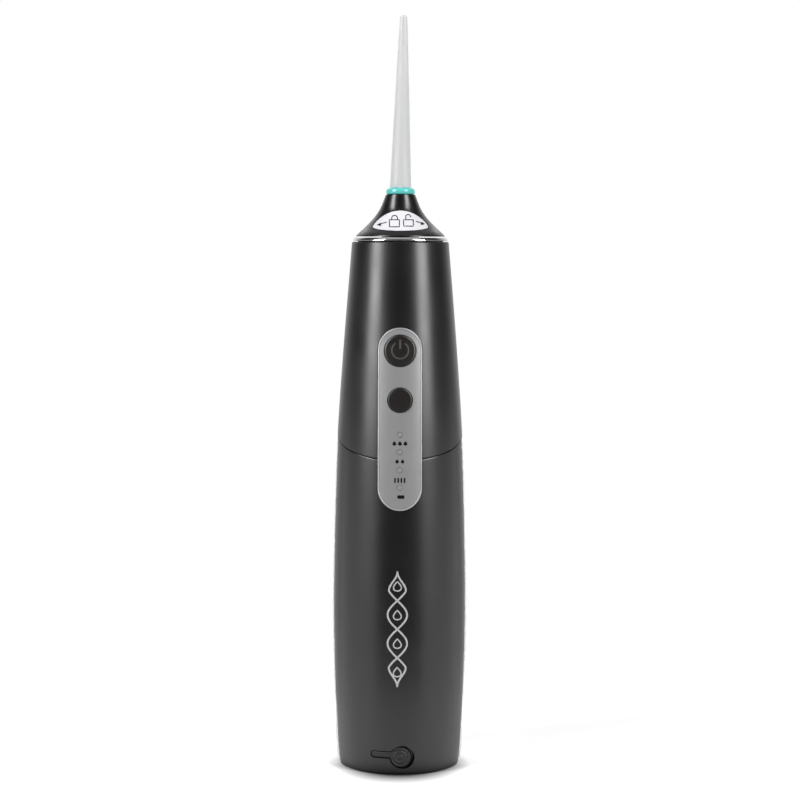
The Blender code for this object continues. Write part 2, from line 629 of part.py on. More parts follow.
def make_neck(handle):
    neck = turned(
        "jet_neck",
        [(1.0, 196.3), (1.9, 196.3), (1.9, 198.5), (7.2, 198.5), (7.2, 202.6), (15.2, 202.6),
         (15.2, 204.2), (7.2, 204.2), (7.2, 211.0), (5.7, 211.0), (5.7, 203.6), (1.0, 203.6)],
        steps=24,
    )
    finish(neck, handle, (0.05, 0.05, 0.05), roughness=0.5)
    nut = extruded("neck_nut", circle(0.0, 0.0, 10.5, steps=6), 198.8, 200.1, "Z")
    cut(nut, rod("cut_nut", 7.6, 190.0, 210.0))
    finish(nut, handle, STEEL, metallic=1.0, roughness=0.35)

    cap = turned(
        "lock_cap",
        side(205.6, 221.7, 0.0, CAP)
        + [(4.85, 221.7), (4.85, 219.5), (6.0, 216.5), (7.8, 213.6), (10.0, 211.0), (15.9, 205.6)],
        steps=40, origin=(0.0, 0.0, 205.6),
    )
    pocket = body_shell("cut_label", 206.5, 218.0, -2.0, 0.9, table=CAP)
    keep(pocket, extruded("keep_pocket", lens(10.9, 207.4, 210.3, 216.1), -40, -1))
    cut(cap, pocket)
    finish(cap, handle, BLACK, roughness=0.3)
    label = body_shell("lock_label", 206.5, 218.0, -0.1, 0.42, table=CAP)
    keep(label, extruded("keep_label", lens(10.5, 207.8, 210.3, 215.7), -40, -1))
    finish(label, handle, WHITE, roughness=0.4)

    socket_at = carrier("socket_pivot", (0.0, 0.0, 205.0), handle)
    socket = turned(
        "nozzle_socket",
        [(1.3, 204.2), (5.2, 204.2), (5.2, 207.8), (4.4, 207.8), (4.4, 221.2), (3.1, 221.2),
         (3.1, 207.4), (1.3, 207.4)],
        origin=(0.0, 0.0, 205.0),
    )
    finish(socket, socket_at, (0.05, 0.05, 0.05), roughness=0.4)
    finish(ring("socket_seal", 4.65, 5.5, 208.1, 209.3), socket_at, RUBBER, roughness=0.6)

    tip_at = carrier("tip_pivot", (0.0, 0.0, 208.5), socket_at)
    tip = turned(
        "jet_tip",
        [(1.5, 208.5), (2.75, 208.5), (2.75, 209.4), (2.0, 209.4), (2.0, 211.0), (2.75, 211.0),
         (2.75, 221.7), (3.4, 221.9), (3.4, TIP_FLANGE_Z), (4.1, TIP_FLANGE_Z), (4.05, 226.0),
         (2.75, 257.9), (1.74, 281.5), (1.3, 288.5), (1.0, TIP_TOP), (0.5, TIP_TOP), (0.55, 287.0),
         (1.1, 273.1), (2.15, 248.0), (2.15, 226.0), (1.5, 222.0)],
        steps=20, origin=(0.0, 0.0, 208.5),
    )
    base = (TIP_FLANGE_Z - 208.5) * MM
    for vertex in tip.data.vertices:
        vertex.co.x += TIP_LEAN * max(vertex.co.z - base, 0.0)
    finish(tip, tip_at, CLEAR, roughness=0.25, transmission=0.6)
    low, high = RING_Z
    band = turned(
        "tip_ring",
        [(3.75, low), (5.15, low), (5.5, low + 0.4), (5.55, low + 1.2), (5.45, high - 0.4),
         (5.1, high), (3.75, high)],
        steps=24, origin=(0.0, 0.0, low),
    )
    finish(band, tip_at, TEAL, roughness=0.3)
    finish(ring("tip_o_ring", 2.1, 2.9, 209.6, 210.8, steps=20), tip_at, RUBBER, roughness=0.6)


def make_tank(handle):
    pivot = carrier("tank_pivot", (0.0, 0.0, 0.0), handle)
    tank = body_solid("water_tank", 0.0, 145.0, 0.0)
    cut(tank, in_front("cut_tank_front", 0.3), above_seam("cut_tank_seam", -0.15))
    inside = body_solid("cut_tank_inside", 1.8, TANK_ROOF[0], TANK_WALL)
    cut(inside, in_front("cut_inside_front", 1.7))
    cut(tank, inside)
    cut(tank, body_solid("cut_tank_skirt", TANK_ROOF[1], 150.0, TANK_WALL))
    boss = body_solid("add_port_boss", 60.0, 110.0, 0.3)
    keep(boss, rod("keep_boss", 10.6, 19.8, 40.0, centre=(0.0, LID_Z), along="Y"))
    join(tank, boss)
    cut(tank, rod("cut_lid_seat", LID_RADIUS + 0.4, 22.3, 40.0, centre=(0.0, LID_Z), along="Y"))
    cut(tank, rod("cut_port", 6.5, 15.0, 40.0, centre=(0.0, LID_Z), along="Y"))
    notch = box("cut_notch", (-3.6, 22.6, LID_Z + 7.0), (3.6, 40.0, LID_AXIS_Z + 2.4))
    cut(tank, notch)
    pin_hole = rod("cut_pin_hole", 1.0, -5.4, 5.4, steps=12, centre=(LID_AXIS_Y, LID_AXIS_Z), along="X")
    cut(tank, pin_hole)
    cut(tank, rod("cut_grommet_seat", 3.8, 112.0, 120.0, steps=16, centre=(SUCTION_X, SUCTION_Y)))
    finish(tank, pivot, CLEAR, roughness=0.2, transmission=0.8)
    grommet = ring(
        "tank_grommet", 2.4, 3.4, 112.8, 115.8, steps=16, centre=(SUCTION_X, SUCTION_Y),
        origin=(SUCTION_X, SUCTION_Y, 112.8),
    )
    finish(grommet, pivot, RUBBER, roughness=0.6)
    hinge = (0.0, LID_AXIS_Y, LID_AXIS_Z)
    pin = rod("lid_pin", 0.7, -5.1, 5.1, steps=12, centre=(LID_AXIS_Y, LID_AXIS_Z), along="X", origin=hinge)
    finish(pin, pivot, STEEL, metallic=1.0, roughness=0.3)

    lid_at = carrier("lid_pivot", hinge, pivot)
    lid = body_shell("fill_lid", 70.0, 105.0, 0.0, 1.4, origin=hinge)
    keep(lid, rod("keep_lid", LID_RADIUS, 10.0, 40.0, centre=(0.0, LID_Z), along="Y"))
    arm = box("add_arm", (-3.2, LID_AXIS_Y - 0.4, LID_Z + 7.4), (3.2, LID_AXIS_Y + 0.6, LID_AXIS_Z))
    knuckle = rod("add_knuckle", 1.5, -3.2, 3.2, steps=16, centre=(LID_AXIS_Y, LID_AXIS_Z), along="X")
    spigot = rod("add_spigot", 4.6, 21.6, 24.9, centre=(0.0, LID_Z), along="Y")
    join(lid, arm, knuckle, spigot)
    cut(lid, rod("cut_knuckle", 1.0, -5.0, 5.0, steps=12, centre=(LID_AXIS_Y, LID_AXIS_Z), along="X"))
    finish(lid, lid_at, CLEAR, roughness=0.3, transmission=0.4)
    seal = ring("lid_seal", 4.9, 5.9, 21.6, 22.8, centre=(0.0, LID_Z), along="Y", origin=hinge)
    finish(seal, lid_at, RUBBER, roughness=0.6)


clear_scene()
handle_frame = carrier("handle", (0.0, 0.0, 0.0))
make_shells(handle_frame)
make_panel(handle_frame)
make_port(handle_frame)
make_pump_base(handle_frame)
make_drive(handle_frame)
make_pump(handle_frame)
make_suction(handle_frame)
make_neck(handle_frame)
make_tank(handle_frame)
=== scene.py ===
"""Looks of the cordless water flosser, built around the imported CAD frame.

Shapes are worked out in millimetres and scaled to metres when a mesh is made. Azimuth 0 of a
turned surface is its front, towards -Y.
"""

import json
from math import acos, asin, ceil, copysign, cos, exp, hypot, inf, pi, radians, sin, sqrt, tan

import bmesh
import bpy
from mathutils import Matrix, Vector, geometry


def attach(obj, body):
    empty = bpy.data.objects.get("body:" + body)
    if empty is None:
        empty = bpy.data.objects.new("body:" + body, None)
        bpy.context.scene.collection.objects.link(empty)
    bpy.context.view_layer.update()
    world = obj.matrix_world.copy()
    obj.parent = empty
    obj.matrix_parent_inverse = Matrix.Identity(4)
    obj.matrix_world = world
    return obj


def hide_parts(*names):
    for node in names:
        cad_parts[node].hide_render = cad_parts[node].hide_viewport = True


MM = 0.001

# Turned surfaces as (height, radius), in mm
BODY = (
    (0.0, 23.3), (1.0, 24.1), (16.0, 25.05), (38.0, 25.9), (62.0, 26.15), (90.0, 25.65),
    (118.0, 24.75), (132.0, 24.1), (160.0, 22.2), (203.6, 18.7),
)
CAP = (
    (205.6, 17.45), (206.6, 16.5), (208.9, 13.97), (211.2, 11.7), (213.5, 9.71), (216.6, 7.74),
    (221.7, 5.7),
)

# Shells
HOUSING_WALL, TANK_WALL, FLOOR_WALL = 1.7, 1.4, 1.8
HOUSING_TOP, LIP_UNDER, PLATE_UNDER = 203.6, 202.2, 200.4
LIP_RADIUS, NECK_HOLE_RADIUS = 16.6, 7.6
FOOT_RADIUS, FOOT_HEIGHT, FOOT_SPREAD = 23.3, 1.0, 0.8
SEAM_Z, SEAM_SLOPE = 129.3, 0.336
PARTING_Y, PARTING_SLOPE = -4.6, 2.8 / 129.0
SEAM_GAP, SEAM_EDGE, SEAM_DROP = 0.13, 0.45, 0.11
FIRST_GUESS_Z = 60.0
FAR = 40.0

# Panel, windows and buttons
PANEL_BOTTOM, PANEL_TOP, PANEL_RADIUS = 102.2, 171.3, 8.4
PANEL_GAP, PANEL_CUT_Y = 0.15, -12.0
PANEL_PROUD, PANEL_BACK, PANEL_MARK_PROUD = 0.42, -1.2, 0.47
BEZEL_WIDTH, BEZEL_GAP, BEZEL_PROUD, BEZEL_BACK = 0.6, 0.05, 0.28, -1.5
POWER_Z, POWER_RADIUS = 162.6, 6.0
MODE_Z, MODE_RADIUS = 144.0, 4.67
BUTTON_PROUD, BUTTON_BACK, BUTTON_GAP = 0.75, -2.0, 0.14
RIDGE_PLACE, RIDGE_WIDTH, RIDGE_HEIGHT = 0.9, 0.035, 0.1
DISH_REACH, DISH_DEPTH = 0.86, 0.14
LIGHT_Z = (131.0, 124.4, 117.6, 111.0)
LIGHT_RADIUS, LIGHT_GAP, LIGHT_PROUD, LIGHT_BACK = 1.05, 0.1, 0.4, -6.0

# Port plug
PLUG_X, PLUG_Z, PLUG_RADIUS, PLUG_BACK = 0.6, 7.1, 3.9, -1.5
STEM_RADIUS, STEM_FRONT_Y, STEM_BACK_Y = 2.0, -23.8, -19.8
RECESS_X, RECESS_RADIUS = 1.4, 4.5
STRAP_END_X, STRAP_Z, STRAP_HEIGHT = -10.6, 8.0, 2.2
RECESS_GAP, RECESS_Y = 0.36, -15.0
GROOVE_X, GROOVE_RADII, GROOVE_WIDTH, GROOVE_DEPTH = 0.25, (1.35, 2.8), 0.24, 0.28

# Cap and tip; a badge is half width, lower end, height of its points and upper end
BADGE = (10.6, 207.8, 209.25, 215.5)
BADGE_SEAT = (10.75, 207.66, 209.25, 215.62)
BADGE_PROUD, BADGE_BACK, BADGE_SEAT_DEPTH = 0.12, -0.42, 0.5
LOCK_PROUD, LOCK_WIDTH, LOCK_DEPTH = 0.26, 0.3, 0.2
TIP_FLANGE_Z, TIP_TOP, TIP_LEAN = 224.7, 290.0, 0.0161

# Tank and lid
TANK_TOP, TANK_ROOF = 145.0, (113.4, 115.0)
TANK_GAP, TANK_FRONT_WALL = 0.25, 1.7
PORT_RADIUS, PORT_Y = 6.5, 15.0
BOSS_RADIUS, BOSS_Y, BOSS_INSET, SEAT_Y, NOTCH_Y = 10.6, 19.8, 0.3, 22.3, 22.6
LID_Z, LID_RADIUS, LID_GAP, LID_BACK = 85.0, 8.9, 0.3, -1.4
LID_AXIS_Y, LID_AXIS_Z = 24.7, 95.3
KNUCKLE_RADIUS, PIN_RADIUS, ARM_HALF, ARM_RISE = 1.5, 1.0, 3.2, 7.4
SUCTION_X, SUCTION_Y, GROMMET_RADIUS = 13.5, 8.0, 3.8

# Motif
MOTIF_LOW, MOTIF_HIGH, MOTIF_X, MOTIF_REACH, MOTIF_WAVES = 35.0, 79.0, -0.8, 3.7, 4

# Outlines of turned pieces, (radius, height)
TRIM_OUTLINE = (
    (15.6, 202.5), (16.3, 202.5), (16.3, 203.9), (18.45, 203.9), (18.3, 204.5), (17.75, 205.3),
    (15.6, 205.3),
)
CAP_FOOT, CAP_MOUTH = (17.2, 205.6), (5.68, 221.62)
CAP_INSIDE = (
    (5.35, 221.75), (4.85, 221.4), (4.85, 219.5), (6.0, 216.5), (7.8, 213.6), (10.0, 211.0),
    (15.9, 205.6),
)
SOCKET_OUTLINE = (
    (1.3, 204.2), (5.2, 204.2), (5.2, 207.8), (4.4, 207.8), (4.4, 221.2), (3.1, 221.2),
    (3.1, 207.4), (1.3, 207.4),
)
TIP_OUTLINE = (
    (1.5, 208.5), (2.75, 208.5), (2.75, 209.4), (2.0, 209.4), (2.0, 211.0), (2.75, 211.0),
    (2.75, 221.7), (3.4, 221.9), (3.4, TIP_FLANGE_Z - 0.4), (4.12, TIP_FLANGE_Z - 0.4),
    (4.05, 226.0), (3.38, 242.6), (2.75, 257.9), (2.13, 273.1), (1.76, 281.5), (1.45, 288.3),
    (1.3, 289.5), (0.9, TIP_TOP), (0.3, TIP_TOP), (0.4, 286.0), (0.9, 273.1), (1.5, 258.0),
    (1.8, 248.0), (1.9, 226.0), (1.5, 222.0),
)
BAND_OUTLINE = (
    (3.75, 221.85), (5.3, 221.85), (5.52, 222.2), (5.6, 222.9), (5.4, 223.6), (4.9, 224.1),
    (4.3, 224.4), (3.75, 224.4),
)
SPIGOT_OUTLINE = ((0.0, 21.6), (4.6, 21.6), (4.6, 24.4), (0.0, 24.4))

# Stage, in metres, degrees and watts; lights are place, size and power
CAMERA_PLACE = (0.0, -0.7718, 0.20466)
CAMERA_DIP, CAMERA_ROLL = 4.625, 0.146
CAMERA_LENS, CAMERA_SENSOR = 89.55, 36.0
WORLD_FRONT, WORLD_BACK, WORLD_SPREAD = 0.06, 1.0, (0.30, 0.95)
FLOOR_RADIUS_MM, FLOOR_FADE = 300.0, (0.06, 0.26)
# Painted shadow on the floor: over this reach round the foot, the floor's base colour goes from the
# dark tone to the pale one, in a halo shifted and squashed towards the front
SHADOW_REACH, SHADOW_TONES = (0.0155, 0.028), (0.06, 0.92)
SHADOW_SHIFT, SHADOW_SQUASH = 0.0066, 0.91
TOP_LIGHT = ((0.0, 0.1, 1.3), (1.3, 1.3), 2.5)
BACK_LIGHT = ((0.0, 1.1, 1.1), (1.2, 0.8), 6.0)
STRIPS = (("left", -56.5, 24.0), ("right", 50.5, 22.5))
STRIP_Z, STRIP_SIZE = 0.83, (0.4, 1.26)
FILL_AZIMUTH, FILL_Z, FILL_SIZE, FILL_POWER = 80.0, -0.14, (1.8, 0.5), 3.2

# How the meshes are made, in mm and degrees
SURFACE_REACH, SURFACE_FACING, END_SLACK = 0.06, 0.93, 0.01
SOLID_SMOOTH, PLATE_SMOOTH, BEZEL_SMOOTH = 32.0, 40.0, 50.0
EDGE_TURNS = (22, 45, 67, 90)
MARK_EDGE, MARK_FILL = 0.03, 0.6
FILL_CLEARANCE = 0.35
SAME_POINT = 1e-5
SEAM_BEVEL, LIP_BEVEL, LONGEST_RIM_EDGE = 0.12, 0.55, 8.0

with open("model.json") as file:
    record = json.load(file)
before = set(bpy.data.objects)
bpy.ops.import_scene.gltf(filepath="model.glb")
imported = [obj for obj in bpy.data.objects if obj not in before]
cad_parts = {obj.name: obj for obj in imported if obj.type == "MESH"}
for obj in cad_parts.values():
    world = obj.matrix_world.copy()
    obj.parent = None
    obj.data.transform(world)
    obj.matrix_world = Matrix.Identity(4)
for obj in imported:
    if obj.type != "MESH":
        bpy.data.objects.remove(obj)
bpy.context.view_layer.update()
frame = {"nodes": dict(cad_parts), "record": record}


# ---- curves and mappings

def slopes(table):
    """Slope at each point of a (height, radius) table, for a smooth curve that never overshoots."""
    steps = [(r1 - r0) / (z1 - z0) for (z0, r0), (z1, r1) in zip(table, table[1:])]
    inner = [0.0 if a * b <= 0.0 else 2.0 * a * b / (a + b) for a, b in zip(steps, steps[1:])]
    return [steps[0]] + inner + [steps[-1]]


SLOPES = {table: slopes(table) for table in (BODY, CAP)}


def radius_at(height, table=BODY):
    """Radius of the smooth turned surface at a height."""
    height = min(max(height, table[0][0]), table[-1][0])
    for i, ((z0, r0), (z1, r1)) in enumerate(zip(table, table[1:])):
        if height <= z1:
            break
    span = z1 - z0
    t = (height - z0) / span
    m0, m1 = SLOPES[table][i] * span, SLOPES[table][i + 1] * span
    return (
        (2 * t**3 - 3 * t**2 + 1) * r0 + (t**3 - 2 * t**2 + t) * m0
        + (3 * t**2 - 2 * t**3) * r1 + (t**3 - t**2) * m1
    )


def surface_normal(point, table=BODY):
    """Outward normal of the turned surface at a point given in mm."""
    slope = (radius_at(point[2] + 0.05, table) - radius_at(point[2] - 0.05, table)) / 0.1
    across = hypot(point[0], point[1]) or 1.0
    return Vector((point[0] / across, point[1] / across, -slope)).normalized()


def seam_at(y):
    return SEAM_Z + SEAM_SLOPE * y


def parting_at(height):
    return PARTING_Y + PARTING_SLOPE * (height - SEAM_Z)


def seam_height(azimuth, shift):
    """Height where the seam's plane, moved by shift, meets the body at an azimuth."""
    height = SEAM_Z
    for _ in range(5):
        height = seam_at(-radius_at(height) * cos(azimuth)) + shift
    return height


def front_map(table=BODY, side=-1.0):
    """(x, z) on the front (side -1) or the rear (side 1) of a turned surface, at an offset."""
    def to_space(x, z, offset):
        radius = radius_at(z, table) + offset
        return Vector((x, side * sqrt(max(radius * radius - x * x, 0.0)), z))
    return to_space


# ---- meshes

def linked(name, data):
    """An object of the scene made from mesh, light or camera data."""
    made = bpy.data.objects.new(name, data)
    bpy.context.scene.collection.objects.link(made)
    return made


def smooth(mesh, angle):
    mesh.shade_smooth()
    mesh.set_sharp_from_angle(angle=radians(angle))


def new_object(name, bm, smooth_angle=SOLID_SMOOTH, fix_normals=True):
    """An object from a bmesh in mm, scaled to metres."""
    if fix_normals:
        bmesh.ops.recalc_face_normals(bm, faces=bm.faces)
    bmesh.ops.scale(bm, verts=bm.verts, vec=(MM, MM, MM))
    mesh = bpy.data.meshes.new(name)
    bm.to_mesh(mesh)
    bm.free()
    smooth(mesh, smooth_angle)
    return linked(name, mesh)


def applied(target):
    """The target with its modifiers applied, and their helpers removed."""
    helpers = [m.object for m in target.modifiers if m.type == "BOOLEAN"]
    graph = bpy.context.evaluated_depsgraph_get()
    mesh = bpy.data.meshes.new_from_object(target.evaluated_get(graph))
    old = target.data
    target.modifiers.clear()
    target.data = mesh
    mesh.name = target.name
    bpy.data.meshes.remove(old)
    for helper in helpers:
        bpy.data.objects.remove(helper, do_unlink=True)
    smooth(mesh, SOLID_SMOOTH)
    return target


def combine(target, others, operation, solver="MANIFOLD"):
    for other in others:
        made = target.modifiers.new(other.name, "BOOLEAN")
        made.operation = operation
        made.solver = solver
        made.object = other
    return target


def cut(target, *others, solver="MANIFOLD"):
    return combine(target, others, "DIFFERENCE", solver)


def join(target, *others):
    return combine(target, others, "UNION")


def keep(target, *others):
    return combine(target, others, "INTERSECT")


def true_normals(target, insets, table=BODY):
    """Gives corners on the turned surface, or on one of its insets, that surface's own normal."""
    mesh = target.data
    normals = [Vector(corner.vector) for corner in mesh.corner_normals]
    for face in mesh.polygons:
        for corner in face.loop_indices:
            point = mesh.vertices[mesh.loops[corner].vertex_index].co / MM
            if not table[0][0] - END_SLACK <= point.z <= table[-1][0] + END_SLACK:
                continue
            depth = radius_at(point.z, table) - hypot(point.x, point.y)
            if not any(abs(depth - inset) < SURFACE_REACH for inset in insets):
                continue
            exact = surface_normal(point, table)
            facing = exact.dot(face.normal)
            if abs(facing) > SURFACE_FACING:
                normals[corner] = exact if facing > 0.0 else -exact
    mesh.normals_split_custom_set([tuple(normal) for normal in normals])
    return target


def spun(name, profile, steps=128, centre=(0.0, 0.0), along="Z", lean=0.0, lean_from=0.0):
    """A closed (radius, height) profile spun round Z, Y or X."""
    bm = bmesh.new()
    rings = []
    for radius, height in profile:
        if radius <= 0.0:
            rings.append([bm.verts.new((0.0, 0.0, height))])
            continue
        shift = lean * max(height - lean_from, 0.0)
        turns = [2 * pi * i / steps for i in range(steps)]
        points = [(radius * cos(t) + shift, radius * sin(t), height) for t in turns]
        rings.append([bm.verts.new(point) for point in points])
    for low, high in zip(rings, rings[1:] + rings[:1]):
        if len(low) == 1 and len(high) == 1:
            continue
        for i in range(steps):
            j = (i + 1) % steps
            corners = (
                low[i % len(low)], low[j % len(low)], high[j % len(high)], high[i % len(high)],
            )
            bm.faces.new(list(dict.fromkeys(corners)))
    turned, place = {
        "X": (Matrix.Rotation(radians(90), 3, "Y"), (0.0, centre[0], centre[1])),
        "Y": (Matrix.Rotation(radians(-90), 3, "X"), (centre[0], 0.0, centre[1])),
        "Z": (Matrix.Identity(3), (centre[0], centre[1], 0.0)),
    }[along]
    bmesh.ops.rotate(bm, verts=bm.verts, cent=(0, 0, 0), matrix=turned)
    bmesh.ops.translate(bm, verts=bm.verts, vec=place)
    return new_object(name, bm)


def rod(name, radius, z0, z1, **how):
    return spun(name, [(0.0, z0), (radius, z0), (radius, z1), (0.0, z1)], **how)


def filleted(points, radius, steps=4):
    """A closed outline with each corner rounded, as far as its sides have room."""
    made = []
    count = len(points)
    for i in range(count):
        before, corner, after = (Vector(points[(i + k) % count]) for k in (-1, 0, 1))
        if corner.x <= 0.0:
            made.append(tuple(corner))
            continue
        to_before, to_after = before - corner, after - corner
        turn = to_before.angle(to_after)
        reach = min(radius / tan(0.5 * turn), 0.45 * to_before.length, 0.45 * to_after.length)
        start = corner + reach * to_before.normalized()
        end = corner + reach * to_after.normalized()
        for k in range(steps + 1):
            t = k / steps
            made.append(tuple((1 - t) ** 2 * start + 2 * t * (1 - t) * corner + t * t * end))
    return made


def prism(name, outline, start, end, axis="Y"):
    """An outline extruded along Y (points are x, z), X (points are y, z) or Z (points are x, y)."""
    bm = bmesh.new()
    to_point = {
        "X": lambda u, v, w: (w, u, v),
        "Y": lambda u, v, w: (u, w, v),
        "Z": lambda u, v, w: (u, v, w),
    }[axis]
    ends = [[bm.verts.new(to_point(u, v, w)) for u, v in outline] for w in (start, end)]
    bm.faces.new(ends[0])
    bm.faces.new(ends[1][::-1])
    for i in range(len(outline)):
        j = (i + 1) % len(outline)
        bm.faces.new((ends[0][i], ends[0][j], ends[1][j], ends[1][i]))
    return new_object(name, bm)


def box(name, low, high):
    outline = [(low[0], low[1]), (high[0], low[1]), (high[0], high[1]), (low[0], high[1])]
    return prism(name, outline, low[2], high[2], "Z")


def circle(x, z, radius, steps=64):
    turns = [2 * pi * (i + 0.5) / steps for i in range(steps)]
    return [(x + radius * cos(t), z + radius * sin(t)) for t in turns]


def pill(radius, z0, z1, steps=24):
    top = [pi * i / steps for i in range(steps + 1)]
    upper = [(radius * cos(t), z1 - radius + radius * sin(t)) for t in top]
    lower = [(-radius * cos(t), z0 + radius - radius * sin(t)) for t in top]
    return upper + lower


def lens(half_width, low, middle, high, steps=28, sharpness=1.6):
    """A pointed lens, whose upper edge sweeps into its two points."""
    turns = [pi * i / steps for i in range(steps + 1)]
    upper, lower = high - middle, middle - low
    made = [(half_width * cos(t), middle + upper * sin(t) ** sharpness) for t in turns]
    return made + [(-half_width * cos(t), middle - lower * sin(t)) for t in turns[1:-1]]


def keyhole(grow, steps=40, end_steps=12):
    """Outline of the port plug: a round head, and a strap to the left with a round end."""
    radius = PLUG_RADIUS + grow
    half = 0.5 * STRAP_HEIGHT + grow
    first = pi - asin((STRAP_Z + half - PLUG_Z) / radius)
    last = -pi - asin((STRAP_Z - half - PLUG_Z) / radius)
    turns = [first + (last - first) * i / steps for i in range(steps + 1)]
    head = [(PLUG_X + radius * cos(t), PLUG_Z + radius * sin(t)) for t in turns]
    end_x = STRAP_END_X + 0.5 * STRAP_HEIGHT
    ends = [0.5 * pi * (3 - 2 * i / end_steps) for i in range(end_steps + 1)]
    return head + [(end_x + half * cos(t), STRAP_Z + half * sin(t)) for t in ends]


def even(outline, step):
    """The closed outline with points no further apart than step."""
    made = []
    for a, b in zip(outline, outline[1:] + outline[:1]):
        a, b = Vector(a), Vector(b)
        count = max(1, ceil((b - a).length / step))
        made += [a + (b - a) * k / count for k in range(count)]
    return made


def edge_distance(point, loops):
    """Distance from a point to the nearest side of any loop."""
    best = inf
    for loop in loops:
        for a, b in zip(loop, loop[1:] + loop[:1]):
            side = b - a
            t = max(0.0, min(1.0, (point - a).dot(side) / side.length_squared))
            best = min(best, (point - a - t * side).length)
    return best


def is_inside(point, loop):
    inside = False
    for a, b in zip(loop, loop[1:] + loop[:1]):
        if (a.y > point.y) != (b.y > point.y):
            if point.x < a.x + (point.y - a.y) * (b.x - a.x) / (b.y - a.y):
                inside = not inside
    return inside


def moved_in(loop, depth, flip):
    """The loop moved towards the material by depth; flip is for a hole."""
    count = len(loop)
    area = sum(a.x * b.y - b.x * a.y for a, b in zip(loop, loop[1:] + loop[:1]))
    sign = (1.0 if area > 0.0 else -1.0) * (-1.0 if flip else 1.0)
    made = []
    for i in range(count):
        along = (loop[(i + 1) % count] - loop[i - 1]).normalized()
        made.append(loop[i] + sign * depth * Vector((-along.y, along.x)))
    return made


def plate(name, outline, to_space, proud, back, holes=(), edge=0.3, step=0.7, fill=1.6, dish=None):
    """A plate that follows a surface, with rounded edges: outline and holes are (x, z) loops."""
    loops = [even(outline, step)] + [even(hole, step) for hole in holes]
    rims = [0.0] + [edge * (1 - cos(radians(a))) for a in EDGE_TURNS]
    points, edges = [], []
    for number, loop in enumerate(loops):
        for depth in rims:
            ring = moved_in(loop, depth, number > 0) if depth else loop
            first = len(points)
            points += ring
            edges += [(first + i, first + (i + 1) % len(ring)) for i in range(len(ring))]
    low = [min(p[k] for p in loops[0]) for k in (0, 1)]
    high = [max(p[k] for p in loops[0]) for k in (0, 1)]
    columns = max(2, ceil((high[0] - low[0]) / fill))
    rows = max(2, ceil((high[1] - low[1]) / fill))
    for i in range(columns + 1):
        for j in range(rows + 1):
            spot = Vector((
                low[0] + (high[0] - low[0]) * i / columns, low[1] + (high[1] - low[1]) * j / rows,
            ))
            if not is_inside(spot, loops[0]) or any(is_inside(spot, loop) for loop in loops[1:]):
                continue
            if edge_distance(spot, loops) > edge + FILL_CLEARANCE * fill:
                points.append(spot)
    flat, _, faces, *_ = geometry.delaunay_2d_cdt(points, edges, [], 1, SAME_POINT)
    bm = bmesh.new()
    front, rear = [], []
    for point in flat:
        depth = edge_distance(point, loops)
        drop = edge - sqrt(max(edge * edge - max(edge - depth, 0.0) ** 2, 0.0))
        offset = proud - drop + (dish(point) if dish else 0.0)
        front.append(bm.verts.new(to_space(point.x, point.y, offset)))
        rear.append(bm.verts.new(to_space(point.x, point.y, back)))
    rim_sides = {}
    for face in faces:
        middle = sum((flat[i] for i in face), Vector((0.0, 0.0))) / len(face)
        if not is_inside(middle, loops[0]) or any(is_inside(middle, loop) for loop in loops[1:]):
            continue
        bm.faces.new([front[i] for i in face])
        bm.faces.new([rear[i] for i in reversed(face)])
        for a, b in zip(face, face[1:] + face[:1]):
            key = (min(a, b), max(a, b))
            rim_sides[key] = None if key in rim_sides else (a, b)
    for side in rim_sides.values():
        if side:
            a, b = side
            bm.faces.new((front[b], front[a], rear[a], rear[b]))
    loose = [v for v in bm.verts if not v.link_faces]
    bmesh.ops.delete(bm, geom=loose, context="VERTS")
    return new_object(name, bm, PLATE_SMOOTH)


def ribbon_outline(path, width, closed=False, cap_steps=6):
    """Outline of a line drawn along a path, and the hole in it if the path is closed."""
    path = [Vector(p) for p in path]
    half = 0.5 * width
    if closed:
        return moved_in(path, -half, False), moved_in(path, half, False)
    left, right = [], []
    for i, point in enumerate(path):
        along = (path[min(i + 1, len(path) - 1)] - path[max(i - 1, 0)]).normalized()
        across = Vector((-along.y, along.x))
        left.append(point + half * across)
        right.append(point - half * across)
    caps = []
    for end, back_end in ((-1, -2), (0, 1)):
        along = (path[end] - path[back_end]).normalized()
        across = Vector((-along.y, along.x))
        turns = [pi * k / cap_steps for k in range(1, cap_steps)]
        caps.append([path[end] + half * (cos(t) * across + sin(t) * along) for t in turns])
    return left + caps[0] + right[::-1] + caps[1], None


def line_mark(name, path, width, to_space, proud, depth=0.12, closed=False, step=0.3):
    """A thin raised line on a surface."""
    outer, hole = ribbon_outline(path, width, closed)
    return plate(
        name, outer, to_space, proud, proud - depth, [hole] if hole else (), edge=MARK_EDGE,
        step=step, fill=max(width, MARK_FILL),
    )


def arc(x, z, radius, start, end, steps=24):
    turns = [radians(start + (end - start) * i / steps) for i in range(steps + 1)]
    return [(x + radius * cos(t), z + radius * sin(t)) for t in turns]


def merged(name, parts):
    """Several objects made one."""
    bm = bmesh.new()
    for part in parts:
        bm.from_mesh(part.data)
        bpy.data.objects.remove(part, do_unlink=True)
    mesh = bpy.data.meshes.new(name)
    bm.to_mesh(mesh)
    bm.free()
    smooth(mesh, PLATE_SMOOTH)
    return linked(name, mesh)


def settle(piece, body, looks, slot, stands_for=(), look=None):
    """Gives a piece its slot's look, or another one, and its place in the frame."""
    piece.data.materials.clear()
    piece.data.materials.append(looks[look or slot])
    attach(piece, body)
    if stands_for:
        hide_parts(*stands_for)


# ---- materials

def map_range(nodes, source, target, smooth=False):
    """A Map Range node from one (low, high) range to another."""
    made = nodes.new("ShaderNodeMapRange")
    if smooth:
        made.interpolation_type = "SMOOTHSTEP"
    for side, (low, high) in (("From", source), ("To", target)):
        made.inputs[side + " Min"].default_value = low
        made.inputs[side + " Max"].default_value = high
    return made


